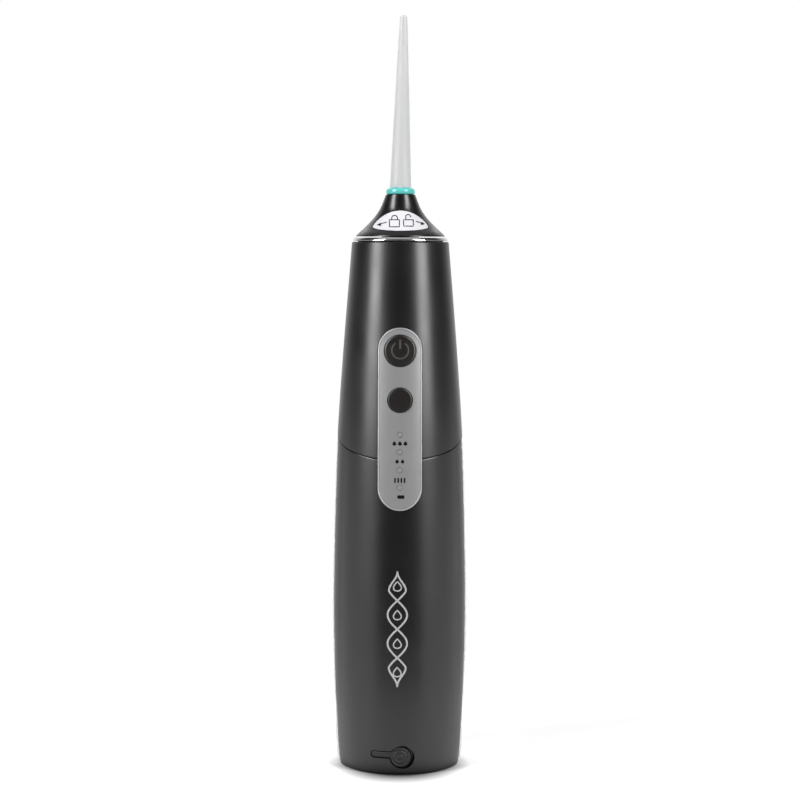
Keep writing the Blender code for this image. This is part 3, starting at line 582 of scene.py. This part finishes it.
class Look:
    """A Principled material that varies by noise in object space."""

    noise_range = (0.3, 0.7)

    def __init__(self, name, colour, roughness=0.4, metallic=0.0, **sockets):
        self.name = name
        self.material = bpy.data.materials.new(name)
        self.material.use_nodes = True
        self.nodes = self.material.node_tree.nodes
        self.links = self.material.node_tree.links
        self.shader = self.nodes["Principled BSDF"]
        self.shader.inputs["Base Color"].default_value = (*colour, 1.0)
        self.shader.inputs["Roughness"].default_value = roughness
        self.shader.inputs["Metallic"].default_value = metallic
        for socket, value in sockets.items():
            self.shader.inputs[socket.replace("_", " ")].default_value = value
        self.colour, self.roughness = colour, roughness
        self.place = self.nodes.new("ShaderNodeTexCoord").outputs["Object"]

    def noise(self, scale, detail, stretch=None):
        texture = self.nodes.new("ShaderNodeTexNoise")
        texture.inputs["Scale"].default_value = scale
        texture.inputs["Detail"].default_value = detail
        if stretch:
            mapping = self.nodes.new("ShaderNodeMapping")
            mapping.inputs["Scale"].default_value = stretch
            self.links.new(self.place, mapping.inputs["Vector"])
            self.links.new(mapping.outputs[0], texture.inputs["Vector"])
        else:
            self.links.new(self.place, texture.inputs["Vector"])
        return texture.outputs["Fac"]

    def vary_roughness(self, scale, spread, stretch=None):
        limits = (self.roughness - spread, self.roughness + spread)
        ramp = map_range(self.nodes, self.noise_range, limits)
        self.links.new(self.noise(scale, 3.0, stretch), ramp.inputs["Value"])
        self.links.new(ramp.outputs["Result"], self.shader.inputs["Roughness"])
        return self

    def vary_colour(self, scale, other):
        mix = self.nodes.new("ShaderNodeMix")
        mix.data_type = "RGBA"
        mix.inputs["A"].default_value = (*self.colour, 1.0)
        mix.inputs["B"].default_value = (*other, 1.0)
        self.links.new(self.noise(scale, 4.0), mix.inputs["Factor"])
        self.links.new(mix.outputs["Result"], self.shader.inputs["Base Color"])
        return self

    def grain(self, scale, distance, stretch=None):
        """Fine relief; distance in metres."""
        bump = self.nodes.new("ShaderNodeBump")
        bump.inputs["Strength"].default_value = 1.0
        bump.inputs["Distance"].default_value = distance
        self.links.new(self.noise(scale, 2.0, stretch), bump.inputs["Height"])
        self.links.new(bump.outputs["Normal"], self.shader.inputs["Normal"])
        return self


def make_looks():
    made = [
        Look("satin_black", (0.0030, 0.0029, 0.0030), 0.325)
        .vary_roughness(90, 0.025).vary_colour(60, (0.0042, 0.0042, 0.0044)).grain(2600, 3.5e-6),
        Look("gloss_black", (0.003, 0.003, 0.0032), 0.26).vary_roughness(120, 0.02)
        .grain(1800, 2e-6),
        Look("inner_black", (0.012, 0.012, 0.013), 0.5).vary_roughness(80, 0.06).grain(1500, 1e-5),
        Look("panel_grey", (0.19, 0.19, 0.194), 0.4, 0.3).vary_roughness(140, 0.03)
        .vary_colour(300, (0.205, 0.205, 0.208)).grain(3200, 2e-6),
        Look("bezel_metal", (0.33, 0.33, 0.34), 0.38, 0.5).vary_roughness(200, 0.03)
        .grain(2400, 1e-6),
        Look("button_black", (0.0075, 0.0062, 0.0058), 0.34)
        .vary_roughness(160, 0.02).grain(2000, 3e-6),
        Look("window_clear", (0.185, 0.185, 0.19), 0.4, Transmission_Weight=0.15)
        .vary_roughness(200, 0.03).grain(1500, 2e-6),
        Look("ring_chrome", (0.62, 0.62, 0.64), 0.13, 1.0).vary_roughness(150, 0.012)
        .grain(900, 8e-7),
        Look("label_white", (0.45, 0.444, 0.468), 0.4).vary_roughness(150, 0.03)
        .vary_colour(200, (0.47, 0.464, 0.482)).grain(2000, 2e-6),
        Look("tip_clear", (0.6, 0.605, 0.61), 0.4, Transmission_Weight=0.5, IOR=1.4)
        .vary_roughness(120, 0.03).grain(700, 2e-6),
        Look("tank_clear", (0.9, 0.92, 0.93), 0.16, Transmission_Weight=0.9, IOR=1.45)
        .vary_roughness(90, 0.03).grain(600, 2e-6),
        Look("ring_teal", (0.066, 0.325, 0.31), 0.26).vary_roughness(180, 0.03)
        .vary_colour(200, (0.066, 0.40, 0.375)).grain(1800, 2e-6),
        Look("seal_rubber", (0.02, 0.02, 0.021), 0.6).vary_roughness(200, 0.05).grain(1500, 6e-6),
        Look("plug_rubber", (0.005, 0.005, 0.0055), 0.5, Specular_IOR_Level=0.4)
        .vary_roughness(200, 0.04).grain(2200, 5e-6),
        Look("screw_steel", (0.55, 0.55, 0.57), 0.28, 1.0).vary_roughness(200, 0.05)
        .grain(1200, 3e-6),
        Look("motor_steel", (0.50, 0.50, 0.52), 0.32, 1.0)
        .vary_roughness(120, 0.05, (1, 12, 1)).grain(900, 3e-6, (1, 12, 1)),
        Look("pinion_brass", (0.62, 0.44, 0.17), 0.28, 1.0).vary_roughness(200, 0.05)
        .grain(1500, 2e-6),
        Look("gear_white", (0.76, 0.75, 0.70), 0.42).vary_roughness(150, 0.05).grain(1500, 4e-6),
        Look("frame_natural", (0.62, 0.61, 0.56), 0.5).vary_roughness(120, 0.05)
        .vary_colour(80, (0.66, 0.65, 0.60)).grain(1200, 6e-6),
        Look("pump_grey", (0.22, 0.23, 0.24), 0.42).vary_roughness(150, 0.05).grain(1500, 5e-6),
        Look("tube_clear", (0.80, 0.83, 0.84), 0.22, Transmission_Weight=0.6)
        .vary_roughness(120, 0.04).grain(900, 2e-6),
        Look("board_green", (0.015, 0.11, 0.04), 0.4)
        .vary_colour(500, (0.02, 0.15, 0.055)).vary_roughness(200, 0.05).grain(1500, 6e-6),
        Look("switch_dark", (0.05, 0.05, 0.055), 0.4).vary_roughness(200, 0.05).grain(1500, 4e-6),
        Look("cell_blue", (0.02, 0.10, 0.36), 0.35).vary_roughness(150, 0.04)
        .vary_colour(90, (0.025, 0.12, 0.40)).grain(900, 5e-6),
        Look("mark_dark", (0.004, 0.004, 0.0044), 0.32, Specular_IOR_Level=0.2)
        .vary_roughness(300, 0.03).grain(2500, 2e-6),
        Look("mark_light", (0.27, 0.27, 0.275), 0.4).vary_roughness(300, 0.05).grain(2500, 2e-6),
        Look("mark_bronze", (0.038, 0.035, 0.034), 0.45).vary_roughness(300, 0.05)
        .grain(2500, 2e-6),
    ]
    looks = {look.name: look.material for look in made}
    looks["shell_black"] = looks["satin_black"]
    return looks


# ---- stage

def add_camera():
    data = bpy.data.cameras.new("camera")
    data.sensor_width = CAMERA_SENSOR
    data.lens = CAMERA_LENS
    camera = linked("camera", data)
    camera.location = CAMERA_PLACE
    level = Matrix.Rotation(radians(90.0 - CAMERA_DIP), 3, "X")
    aim = level @ Matrix.Rotation(radians(CAMERA_ROLL), 3, "Z")
    camera.rotation_euler = aim.to_euler()
    bpy.context.scene.camera = camera


def area_light(name, place, target, size, power):
    data = bpy.data.lights.new(name, "AREA")
    data.shape = "RECTANGLE"
    data.size, data.size_y = size
    data.energy = power
    light = linked(name, data)
    light.location = place
    light.rotation_euler = (Vector(target) - light.location).to_track_quat("-Z", "Y").to_euler()
    light.visible_camera = False


def add_world():
    """White to the camera; to all else dim in front and bright behind, as in a light tent."""
    bpy.context.scene.view_settings.view_transform = "Standard"
    world = bpy.data.worlds.new("studio")
    bpy.context.scene.world = world
    world.use_nodes = True
    nodes, links = world.node_tree.nodes, world.node_tree.links
    background = nodes["Background"]
    background.inputs["Color"].default_value = (1.0, 1.0, 1.0, 1.0)
    place = nodes.new("ShaderNodeTexCoord")
    split = nodes.new("ShaderNodeSeparateXYZ")
    ramp = map_range(nodes, WORLD_SPREAD, (WORLD_FRONT, WORLD_BACK), smooth=True)
    path = nodes.new("ShaderNodeLightPath")
    choose = nodes.new("ShaderNodeMath")
    choose.operation = "MAXIMUM"
    links.new(place.outputs["Generated"], split.inputs[0])
    links.new(split.outputs["Y"], ramp.inputs["Value"])
    links.new(ramp.outputs["Result"], choose.inputs[0])
    links.new(path.outputs["Is Camera Ray"], choose.inputs[1])
    links.new(choose.outputs[0], background.inputs["Strength"])


def add_floor():
    """A small white sheet, with a soft shadow painted into its colour under the object, that fades
    into the white.
    """
    bm = bmesh.new()
    bmesh.ops.create_circle(bm, cap_ends=True, segments=96, radius=FLOOR_RADIUS_MM)
    floor = new_object("floor", bm, fix_normals=False)
    paper = bpy.data.materials.new("paper")
    paper.use_nodes = True
    nodes, links = paper.node_tree.nodes, paper.node_tree.links
    shader = nodes["Principled BSDF"]
    shader.inputs["Roughness"].default_value = 0.9
    shader.inputs["Specular IOR Level"].default_value = 0.1
    # Painted shadow: the base colour darkens towards the foot, in a halo centred a little in front
    # of it
    place = nodes.new("ShaderNodeTexCoord")
    moved = nodes.new("ShaderNodeMapping")
    moved.inputs["Location"].default_value = (0.0, SHADOW_SHIFT, 0.0)
    moved.inputs["Scale"].default_value = (1.0, SHADOW_SQUASH, 1.0)
    reach = nodes.new("ShaderNodeVectorMath")
    reach.operation = "LENGTH"
    soft = map_range(nodes, SHADOW_REACH, SHADOW_TONES)
    links.new(place.outputs["Object"], moved.inputs["Vector"])
    links.new(moved.outputs[0], reach.inputs[0])
    links.new(reach.outputs["Value"], soft.inputs["Value"])
    links.new(soft.outputs["Result"], shader.inputs["Base Color"])
    length = nodes.new("ShaderNodeVectorMath")
    length.operation = "LENGTH"
    fade = map_range(nodes, FLOOR_FADE, (0.0, 1.0), smooth=True)
    clear = nodes.new("ShaderNodeBsdfTransparent")
    mix = nodes.new("ShaderNodeMixShader")
    links.new(place.outputs["Object"], length.inputs[0])
    links.new(length.outputs["Value"], fade.inputs["Value"])
    links.new(fade.outputs["Result"], mix.inputs["Fac"])
    links.new(shader.outputs[0], mix.inputs[1])
    links.new(clear.outputs[0], mix.inputs[2])
    links.new(mix.outputs[0], nodes["Material Output"].inputs["Surface"])
    floor.data.materials.append(paper)


def add_lights():
    """Soft lights above and behind and, at each side, a tall strip with a dim panel below it."""
    def beside(name, azimuth, height, size, power):
        turn = radians(azimuth)
        place = (sin(turn), -cos(turn), height)
        area_light(name, place, (0.0, 0.0, height), size, power)

    for name, (place, size, power) in (("top_light", TOP_LIGHT), ("back_light", BACK_LIGHT)):
        area_light(name, place, (0.0, 0.0, 0.0), size, power)
    for name, azimuth, power in STRIPS:
        beside("strip_" + name, azimuth, STRIP_Z, STRIP_SIZE, power)
        fill_azimuth = copysign(FILL_AZIMUTH, azimuth)
        beside("fill_" + name, fill_azimuth, FILL_Z, FILL_SIZE, FILL_POWER)


# ---- shells

def turned_point(radius, azimuth, height):
    return radius * sin(azimuth), -radius * cos(azimuth), height


def upper_shell(columns=180, rows=52):
    """The housing above the seam, with rounded edges."""
    bm = bmesh.new()
    rings = []
    lip = [
        (LIP_RADIUS, HOUSING_TOP), (LIP_RADIUS, LIP_UNDER), (NECK_HOLE_RADIUS, LIP_UNDER),
        (NECK_HOLE_RADIUS, PLATE_UNDER),
    ]
    for i in range(columns):
        azimuth = 2 * pi * i / columns
        low = seam_height(azimuth, SEAM_GAP)
        start = low + SEAM_EDGE
        section = [(radius_at(low) - SEAM_DROP, low)]
        for j in range(rows):
            z = start + (HOUSING_TOP - start) * j / (rows - 1)
            section.append((radius_at(z), z))
        section += lip
        for j in range(rows + 1):
            z = PLATE_UNDER + (low - PLATE_UNDER) * j / rows
            section.append((radius_at(z) - HOUSING_WALL, z))
        rings.append([bm.verts.new(turned_point(r, azimuth, z)) for r, z in section])
    count = len(rings[0])
    for a, b in zip(rings, rings[1:] + rings[:1]):
        for j in range(count):
            k = (j + 1) % count
            bm.faces.new((a[j], b[j], b[k], a[k]))
    for row, width in ((0, SEAM_BEVEL), (rows, LIP_BEVEL)):
        bm.edges.ensure_lookup_table()
        members = {ring[row] for ring in rings if ring[row].is_valid}
        rim = [edge for edge in bm.edges if edge.verts[0] in members and edge.verts[1] in members]
        bmesh.ops.bevel(bm, geom=rim, offset=width, segments=4, profile=0.5, affect="EDGES")
    return new_object("housing_upper", bm)


def side_azimuth(height, inset):
    """Azimuth at which the parting plane meets the body, or a surface inside it."""
    reach = -parting_at(height) / (radius_at(height) - inset)
    return acos(max(-1.0, min(1.0, reach)))


def lower_shell(columns=120, rows=64):
    """The front of the lower body, closed at the base, with rounded edges."""
    bm = bmesh.new()

    def grid(inset, start):
        made = []
        for i in range(columns + 1):
            share = 2.0 * i / columns - 1.0
            line = []
            for j in range(rows + 1):
                t = min(j / (rows - 1), 1.0)
                t = t * t * (2.0 - t) if start == 0.0 else t
                azimuth = share * side_azimuth(FIRST_GUESS_Z, inset)
                for _ in range(6):
                    high = seam_height(azimuth, -SEAM_GAP)
                    z = high if j == rows else start + (high - SEAM_EDGE - start) * t
                    azimuth = share * side_azimuth(z, inset)
                radius = radius_at(z) - inset - (SEAM_DROP if j == rows and inset == 0.0 else 0.0)
                if z < FOOT_HEIGHT:
                    rise = sqrt(1.0 - (1.0 - z / FOOT_HEIGHT) ** 2)
                    radius = FOOT_RADIUS + FOOT_SPREAD * rise - inset
                line.append(bm.verts.new(turned_point(radius, azimuth, z)))
            made.append(line)
        return made

    outer, inner = grid(0.0, 0.0), grid(HOUSING_WALL, FLOOR_WALL)
    for walls, order in ((outer, 1), (inner, -1)):
        for a, b in zip(walls, walls[1:]):
            for j in range(rows):
                bm.faces.new((a[j], b[j], b[j + 1], a[j + 1])[::order])
    for i in range(columns):
        bm.faces.new((outer[i][rows], outer[i + 1][rows], inner[i + 1][rows], inner[i][rows]))
    for end in (0, columns):
        for j in range(rows):
            bm.faces.new((outer[end][j], outer[end][j + 1], inner[end][j + 1], inner[end][j]))
    bm.faces.new([line[0] for line in outer])
    bm.faces.new([line[0] for line in inner])
    bm.faces.new((outer[0][0], outer[columns][0], inner[columns][0], inner[0][0]))
    outer_rim = {line[rows] for line in outer} | set(outer[0]) | set(outer[columns])
    inner_rim = {line[rows] for line in inner} | set(inner[0]) | set(inner[columns])

    def is_rim(edge):
        """Whether an edge lies on the outer rim, between the outside and the wall's end."""
        if not outer_rim.issuperset(edge.verts) or edge.calc_length() >= LONGEST_RIM_EDGE:
            return False
        if all(vertex.co.z < END_SLACK for vertex in edge.verts):
            return False
        return sum(1 for face in edge.link_faces if not inner_rim.isdisjoint(face.verts)) == 1

    rim = [edge for edge in bm.edges if is_rim(edge)]
    bmesh.ops.bevel(bm, geom=rim, offset=SEAM_BEVEL, segments=2, profile=0.5, affect="EDGES")
    return new_object("housing_front", bm)


def make_shells(looks):
    upper = upper_shell()
    opening = pill(PANEL_RADIUS + PANEL_GAP, PANEL_BOTTOM - PANEL_GAP, PANEL_TOP + PANEL_GAP)
    cut(upper, prism("cut_upper_panel", opening, -FAR, PANEL_CUT_Y), solver="EXACT")
    true_normals(applied(upper), (0.0, HOUSING_WALL))
    settle(upper, "handle", looks, "shell_black", ["upper_housing"])

    lower = lower_shell()
    cut(
        lower, prism("cut_lower_panel", opening, -FAR, PANEL_CUT_Y),
        prism("cut_strap", keyhole(RECESS_GAP), -FAR, RECESS_Y),
        prism("cut_recess", circle(RECESS_X, PLUG_Z, RECESS_RADIUS), -FAR, RECESS_Y),
        solver="EXACT",
    )
    true_normals(applied(lower), (0.0, HOUSING_WALL))
    settle(lower, "handle", looks, "shell_black", ["lower_front_shell"])

    ring = spun("chrome_trim", filleted(TRIM_OUTLINE, 0.5, 6), steps=192)
    settle(ring, "handle", looks, "ring_chrome", ["chrome_ring"])


# ---- panel

def swept_bezel():
    """A rounded rim that follows the pill outline on the body."""
    to_space = front_map()
    outline = even(pill(PANEL_RADIUS, PANEL_BOTTOM, PANEL_TOP, 40), 1.0)
    half = 0.5 * BEZEL_WIDTH
    turns = [pi * k / 10 for k in range(11)]
    section = [(0.0, BEZEL_BACK), (0.0, BEZEL_PROUD)]
    section += [(half - half * cos(t), half + half * sin(t)) for t in turns]
    section += [(BEZEL_WIDTH, BEZEL_PROUD), (BEZEL_WIDTH, BEZEL_BACK)]
    bm = bmesh.new()
    rings = []
    for depth, offset in section:
        loop = moved_in(outline, depth, False)
        rings.append([bm.verts.new(to_space(p.x, p.y, offset)) for p in loop])
    for a, b in zip(rings, rings[1:] + rings[:1]):
        for i in range(len(a)):
            j = (i + 1) % len(a)
            bm.faces.new((a[i], a[j], b[j], b[i]))
    return new_object("panel_rim", bm, BEZEL_SMOOTH)


def button(name, height, radius):
    """A cap with a shallow dish and a fine raised ring near its edge."""
    def dish(point):
        reach = hypot(point.x, point.y - height) / radius
        ridge = RIDGE_HEIGHT * exp(-(((reach - RIDGE_PLACE) / RIDGE_WIDTH) ** 2))
        return ridge - DISH_DEPTH * max(0.0, 1.0 - (reach / DISH_REACH) ** 2)

    return plate(
        name, circle(0.0, height, radius, 96), front_map(), BUTTON_PROUD, BUTTON_BACK, edge=0.35,
        step=0.4, fill=0.42, dish=dish,
    )


def drop_outline(x, z, size, steps=20):
    """Outline of a water drop that points up."""
    made = []
    for i in range(steps):
        t = 2 * pi * i / steps
        wide = size * sin(t) * sin(0.5 * t) ** 1.1
        made.append((x + 0.95 * wide, z + 0.85 * size * cos(t)))
    return made


def make_panel(looks):
    to_space = front_map()
    buttons = ((POWER_Z, POWER_RADIUS), (MODE_Z, MODE_RADIUS))
    holes = [circle(0.0, z, radius + BUTTON_GAP, 96) for z, radius in buttons]
    holes += [circle(0.0, z, LIGHT_RADIUS + LIGHT_GAP, 32) for z in LIGHT_Z]
    inset = BEZEL_WIDTH + BEZEL_GAP
    outline = pill(PANEL_RADIUS - inset, PANEL_BOTTOM + inset, PANEL_TOP - inset, 40)
    face = plate("panel_plate", outline, to_space, PANEL_PROUD, PANEL_BACK, holes, edge=0.12,
                 step=0.5, fill=1.2)
    true_normals(face, (-PANEL_PROUD,))
    settle(face, "handle", looks, "panel_grey", ["control_panel"])
    settle(swept_bezel(), "handle", looks, "bezel_metal", ["panel_bezel"])
    for number, height in enumerate(LIGHT_Z, 1):
        outline = circle(0.0, height, LIGHT_RADIUS - 0.03, 32)
        window = plate("light_window_%d" % number, outline, to_space, LIGHT_PROUD, LIGHT_BACK,
                       edge=0.15, step=0.25, fill=0.4)
        settle(window, "handle", looks, "window_clear", ["light_pipe_%d" % number])

    for kind, (z, radius) in zip(("power", "mode"), buttons):
        node = kind + "_button"
        settle(button(kind + "_cap", z, radius), node, looks, "button_black", [node])
    proud = BUTTON_PROUD - 0.04
    bow = arc(0.0, POWER_Z + 0.2, 3.15, 127, 413, 40)
    bar = [(0.0, POWER_Z + rise) for rise in (1.0, 2.5, 3.95)]
    sign = merged("power_symbol", [
        line_mark("sign_arc", bow, 0.55, to_space, proud, 0.25),
        line_mark("sign_bar", bar, 0.72, to_space, proud, 0.25),
    ])
    settle(sign, "power_button", looks, "button_black", look="mark_bronze")
    marks = merged("panel_marks", pictograms(to_space))
    settle(marks, "handle", looks, "panel_grey", look="mark_dark")


def pictograms(to_space):
    """Three drops, two drops, four dashes and a battery pill, one under each window."""
    proud, back = PANEL_MARK_PROUD, 0.3
    marks = []
    for places, height, size in (((-2.1, 0.0, 2.1), 127.8, 1.0), ((-1.05, 1.05), 121.0, 0.9)):
        for x in places:
            drop = drop_outline(x, height, size)
            marks.append(plate("drop", drop, to_space, proud, back, edge=MARK_EDGE, step=0.25,
                               fill=0.5))
    for x in (-1.8, -0.6, 0.6, 1.8):
        path = [(x, z) for z in (113.1, 113.8, 114.5)]
        marks.append(line_mark("dash", path, 0.6, to_space, proud, 0.15))
    left, right, low, high = -0.55, 1.35, 107.25, 107.75
    cell = []
    for x, z, start in ((right, high, 0), (left, high, 90), (left, low, 180), (right, low, 270)):
        cell += arc(x, z, 0.4, start, start + 90, 6)
    marks.append(plate("cell", cell, to_space, proud, back, edge=MARK_EDGE, step=0.3,
                       fill=MARK_FILL))
    return marks


# ---- port plug

def make_plug(looks):
    to_space = front_map()

    def grooves(point):
        """Two round grooves in the head of the plug."""
        reach = hypot(point.x - GROOVE_X, point.y - PLUG_Z)
        cuts = [exp(-(((reach - radius) / GROOVE_WIDTH) ** 2)) for radius in GROOVE_RADII]
        return -GROOVE_DEPTH * sum(cuts)

    flap = plate("plug_flap", keyhole(0.0), to_space, 0.0, PLUG_BACK, edge=0.3, step=0.3,
                 fill=0.3, dish=grooves)
    stem = rod("plug_stem", STEM_RADIUS, STEM_FRONT_Y, STEM_BACK_Y, steps=48,
               centre=(PLUG_X, PLUG_Z), along="Y")
    settle(flap, "plug", looks, "plug_rubber", ["charge_plug"])
    settle(stem, "plug", looks, "plug_rubber")


# ---- cap, badge, socket and tip

def make_cap(looks, rows=40):
    heights = [CAP[0][0] + (CAP[-1][0] - CAP[0][0]) * i / rows for i in range(rows + 1)]
    side = [(radius_at(z, CAP), z) for z in heights]
    cap = spun("cap_cone", [CAP_FOOT, *side[1:-1], CAP_MOUTH, *CAP_INSIDE], steps=180)
    block = prism("cut_badge", lens(*BADGE_SEAT), -FAR, -1)
    seat = [(radius_at(z, CAP) - BADGE_SEAT_DEPTH, z) for z in heights[:-3]]
    outside = 30.0
    around = [(outside, seat[0][1]), *seat, (outside, seat[-1][1])]
    pocket = spun("cut_pocket", around, steps=180)
    applied(keep(pocket, block))
    cut(cap, pocket)
    true_normals(applied(cap), (0.0, BADGE_SEAT_DEPTH), CAP)
    settle(cap, "lock_cap", looks, "shell_black", ["lock_cap"], look="gloss_black")

    to_space = front_map(CAP)
    badge = plate("lock_badge", lens(*BADGE), to_space, BADGE_PROUD, BADGE_BACK, edge=0.15,
                  step=0.35, fill=0.6)
    true_normals(badge, (-BADGE_PROUD,), CAP)
    settle(badge, "lock_cap", looks, "label_white", ["lock_label"])
    marks = merged("lock_marks", lock_marks(to_space))
    settle(marks, "lock_cap", looks, "label_white", look="mark_dark")


def lock_marks(to_space):
    """A closed and an open padlock, with an arrow beside each."""
    def line(name, path, closed=False):
        return line_mark(name, path, LOCK_WIDTH, to_space, LOCK_PROUD, LOCK_DEPTH, closed=closed)

    top = 212.0
    marks = []
    for left, right, low in ((-4.2, -0.4, 209.3), (1.2, 4.9, 209.6)):
        body = [(left, low), (right, low), (right, top), (left, top)]
        marks.append(line("lock", even(body, 0.45), closed=True))
    foot = top + 0.2
    closed = [(-3.35, foot), (-3.35, 212.5), *arc(-2.25, 212.55, 1.1, 180, 0, 12), (-1.15, foot)]
    opened = [(2.0, foot), (2.0, 212.9), *arc(2.95, 213.1, 0.95, 180, 0, 12)]
    marks += [line("shackle", path) for path in (closed, opened)]
    for (x0, z0), (x1, z1) in (((-5.3, 211.1), (-8.6, 210.1)), ((6.0, 211.4), (9.0, 210.5))):
        shaft = [(x0 + (x1 - x0) * k / 6, z0 + (z1 - z0) * k / 6) for k in range(6)]
        marks.append(line("arrow", shaft))
        side = copysign(1.0, x1)
        head = [(x1 + 0.4 * side, z1 - 0.12), (x1 - side, z1 + 0.78), (x1 - 1.15 * side, z1 - 0.48)]
        marks.append(plate("arrow_head", head, to_space, LOCK_PROUD, LOCK_PROUD - LOCK_DEPTH,
                           edge=MARK_EDGE, step=0.3, fill=MARK_FILL))
    return marks


def make_tip(looks):
    socket = spun("tip_socket", filleted(SOCKET_OUTLINE, 0.2), steps=96)
    settle(socket, "socket", looks, "inner_black", ["nozzle_socket"])
    nozzle = spun("tip_body", filleted(TIP_OUTLINE, 0.25, 3), steps=96, lean=TIP_LEAN,
                  lean_from=TIP_FLANGE_Z)
    settle(nozzle, "tip", looks, "tip_clear", ["jet_tip"])
    band = spun("tip_band", filleted(BAND_OUTLINE, 0.3, 5), steps=128)
    settle(band, "tip", looks, "ring_teal", ["tip_ring"])


# ---- tank

def solid_of_body(name, z0, z1, inset, steps=160, rows=60):
    heights = [z0 + (z1 - z0) * i / rows for i in range(rows + 1)]
    side = [(radius_at(z) - inset, z) for z in heights]
    return spun(name, [(0.0, z0), *side, (0.0, z1)], steps=steps)


def front_half(name, shift):
    """Everything in front of the parting plane, moved back by shift."""
    low, high = -20.0, 170.0
    outline = [
        (-FAR, low), (parting_at(low) + shift, low), (parting_at(high) + shift, high), (-FAR, high),
    ]
    return prism(name, outline, -FAR, FAR, "X")


def above_seam(name, shift):
    top = 240.0
    outline = [(-FAR, seam_at(-FAR) + shift), (FAR, seam_at(FAR) + shift), (FAR, top), (-FAR, top)]
    return prism(name, outline, -FAR, FAR, "X")


def make_tank(looks):
    def bore(name, radius, start):
        return rod(name, radius, start, FAR, centre=(0.0, LID_Z), along="Y")

    tank = solid_of_body("tank_shell", 0.0, TANK_TOP, 0.0)
    cut(tank, front_half("cut_front", TANK_GAP), above_seam("cut_top", -SEAM_GAP))
    inside = solid_of_body("cut_inside", FLOOR_WALL, TANK_ROOF[0], TANK_WALL)
    applied(cut(inside, front_half("cut_inside_front", TANK_FRONT_WALL)))
    cut(tank, inside, solid_of_body("cut_skirt", TANK_ROOF[1], TANK_TOP + 5.0, TANK_WALL))
    boss = solid_of_body("add_boss", LID_Z - 25.0, LID_Z + 25.0, BOSS_INSET)
    applied(keep(boss, bore("keep_boss", BOSS_RADIUS, BOSS_Y)))
    join(tank, boss)
    cut(tank, bore("cut_seat", LID_RADIUS + LID_GAP, SEAT_Y), bore("cut_port", PORT_RADIUS, PORT_Y))
    notch = 0.4
    low = (-ARM_HALF - notch, NOTCH_Y, LID_Z + ARM_RISE - notch)
    cut(tank, box("cut_notch", low, (ARM_HALF + notch, FAR, LID_AXIS_Z + 2.4)))
    hinge = (LID_AXIS_Y, LID_AXIS_Z)
    cut(tank, rod("cut_pin_hole", PIN_RADIUS, -5.4, 5.4, steps=32, centre=hinge, along="X"))
    suction = (SUCTION_X, SUCTION_Y)
    cut(tank, rod("cut_grommet", GROMMET_RADIUS, 112.0, 120.0, steps=48, centre=suction))
    true_normals(applied(tank), (0.0, TANK_WALL))
    settle(tank, "tank", looks, "tank_clear", ["water_tank"])


def make_lid(looks):
    outline = circle(0.0, LID_Z, LID_RADIUS, 96)
    cover = plate("lid_cover", outline, front_map(side=1.0), 0.0, LID_BACK, edge=0.4, step=0.5,
                  fill=1.0)
    true_normals(cover, (0.0,))
    settle(cover, "lid", looks, "tank_clear", ["fill_lid"])
    low = (-ARM_HALF, LID_AXIS_Y - 0.4, LID_Z + ARM_RISE)
    arm = box("lid_arm", low, (ARM_HALF, LID_AXIS_Y + 0.6, LID_AXIS_Z))
    across = {"centre": (LID_AXIS_Y, LID_AXIS_Z), "along": "X"}
    join(arm, rod("knuckle", KNUCKLE_RADIUS, -ARM_HALF, ARM_HALF, steps=48, **across))
    cut(arm, rod("cut_knuckle", PIN_RADIUS, -5.0, 5.0, steps=32, **across))
    settle(applied(arm), "lid", looks, "tank_clear")
    spigot = spun("lid_spigot", filleted(SPIGOT_OUTLINE, 0.3), steps=64, centre=(0.0, LID_Z),
                  along="Y")
    settle(spigot, "lid", looks, "tank_clear")


# ---- motif

def make_motif(looks, steps=96):
    """A stream of water drawn as two crossing waves with drops between, in place of any mark."""
    to_space = front_map()
    height = MOTIF_HIGH - MOTIF_LOW
    proud, depth = 0.05, 0.15
    marks = []
    for sign in (-1, 1):
        path = []
        for i in range(steps + 1):
            t = i / steps
            taper = min(1.0, 6.0 * t, 6.0 * (1.0 - t))
            x = MOTIF_X + sign * MOTIF_REACH * taper * sin(pi * MOTIF_WAVES * t)
            path.append((x, MOTIF_LOW + height * t))
        marks.append(line_mark("wave", path, 0.7, to_space, proud, depth, step=0.5))
    for k in range(MOTIF_WAVES):
        drop = drop_outline(MOTIF_X, MOTIF_LOW + height * (k + 0.5) / MOTIF_WAVES, 2.1, 32)
        marks.append(line_mark("drop_line", drop, 0.5, to_space, proud, depth, closed=True))
    settle(merged("stream_motif", marks), "handle", looks, "shell_black", look="mark_light")


# ---- build

def dress_frame(looks):
    """Materials for the CAD nodes that stay."""
    slots = {part["node"]: part["material_slot"] for part in frame["record"]["subparts"]}
    for name, node in frame["nodes"].items():
        for holder in node.material_slots:
            holder.material = looks[slots[name]]


looks = make_looks()
add_camera()
add_world()
add_floor()
add_lights()
dress_frame(looks)
make_shells(looks)
make_panel(looks)
make_plug(looks)
make_cap(looks)
make_tip(looks)
make_tank(looks)
make_lid(looks)
make_motif(looks)
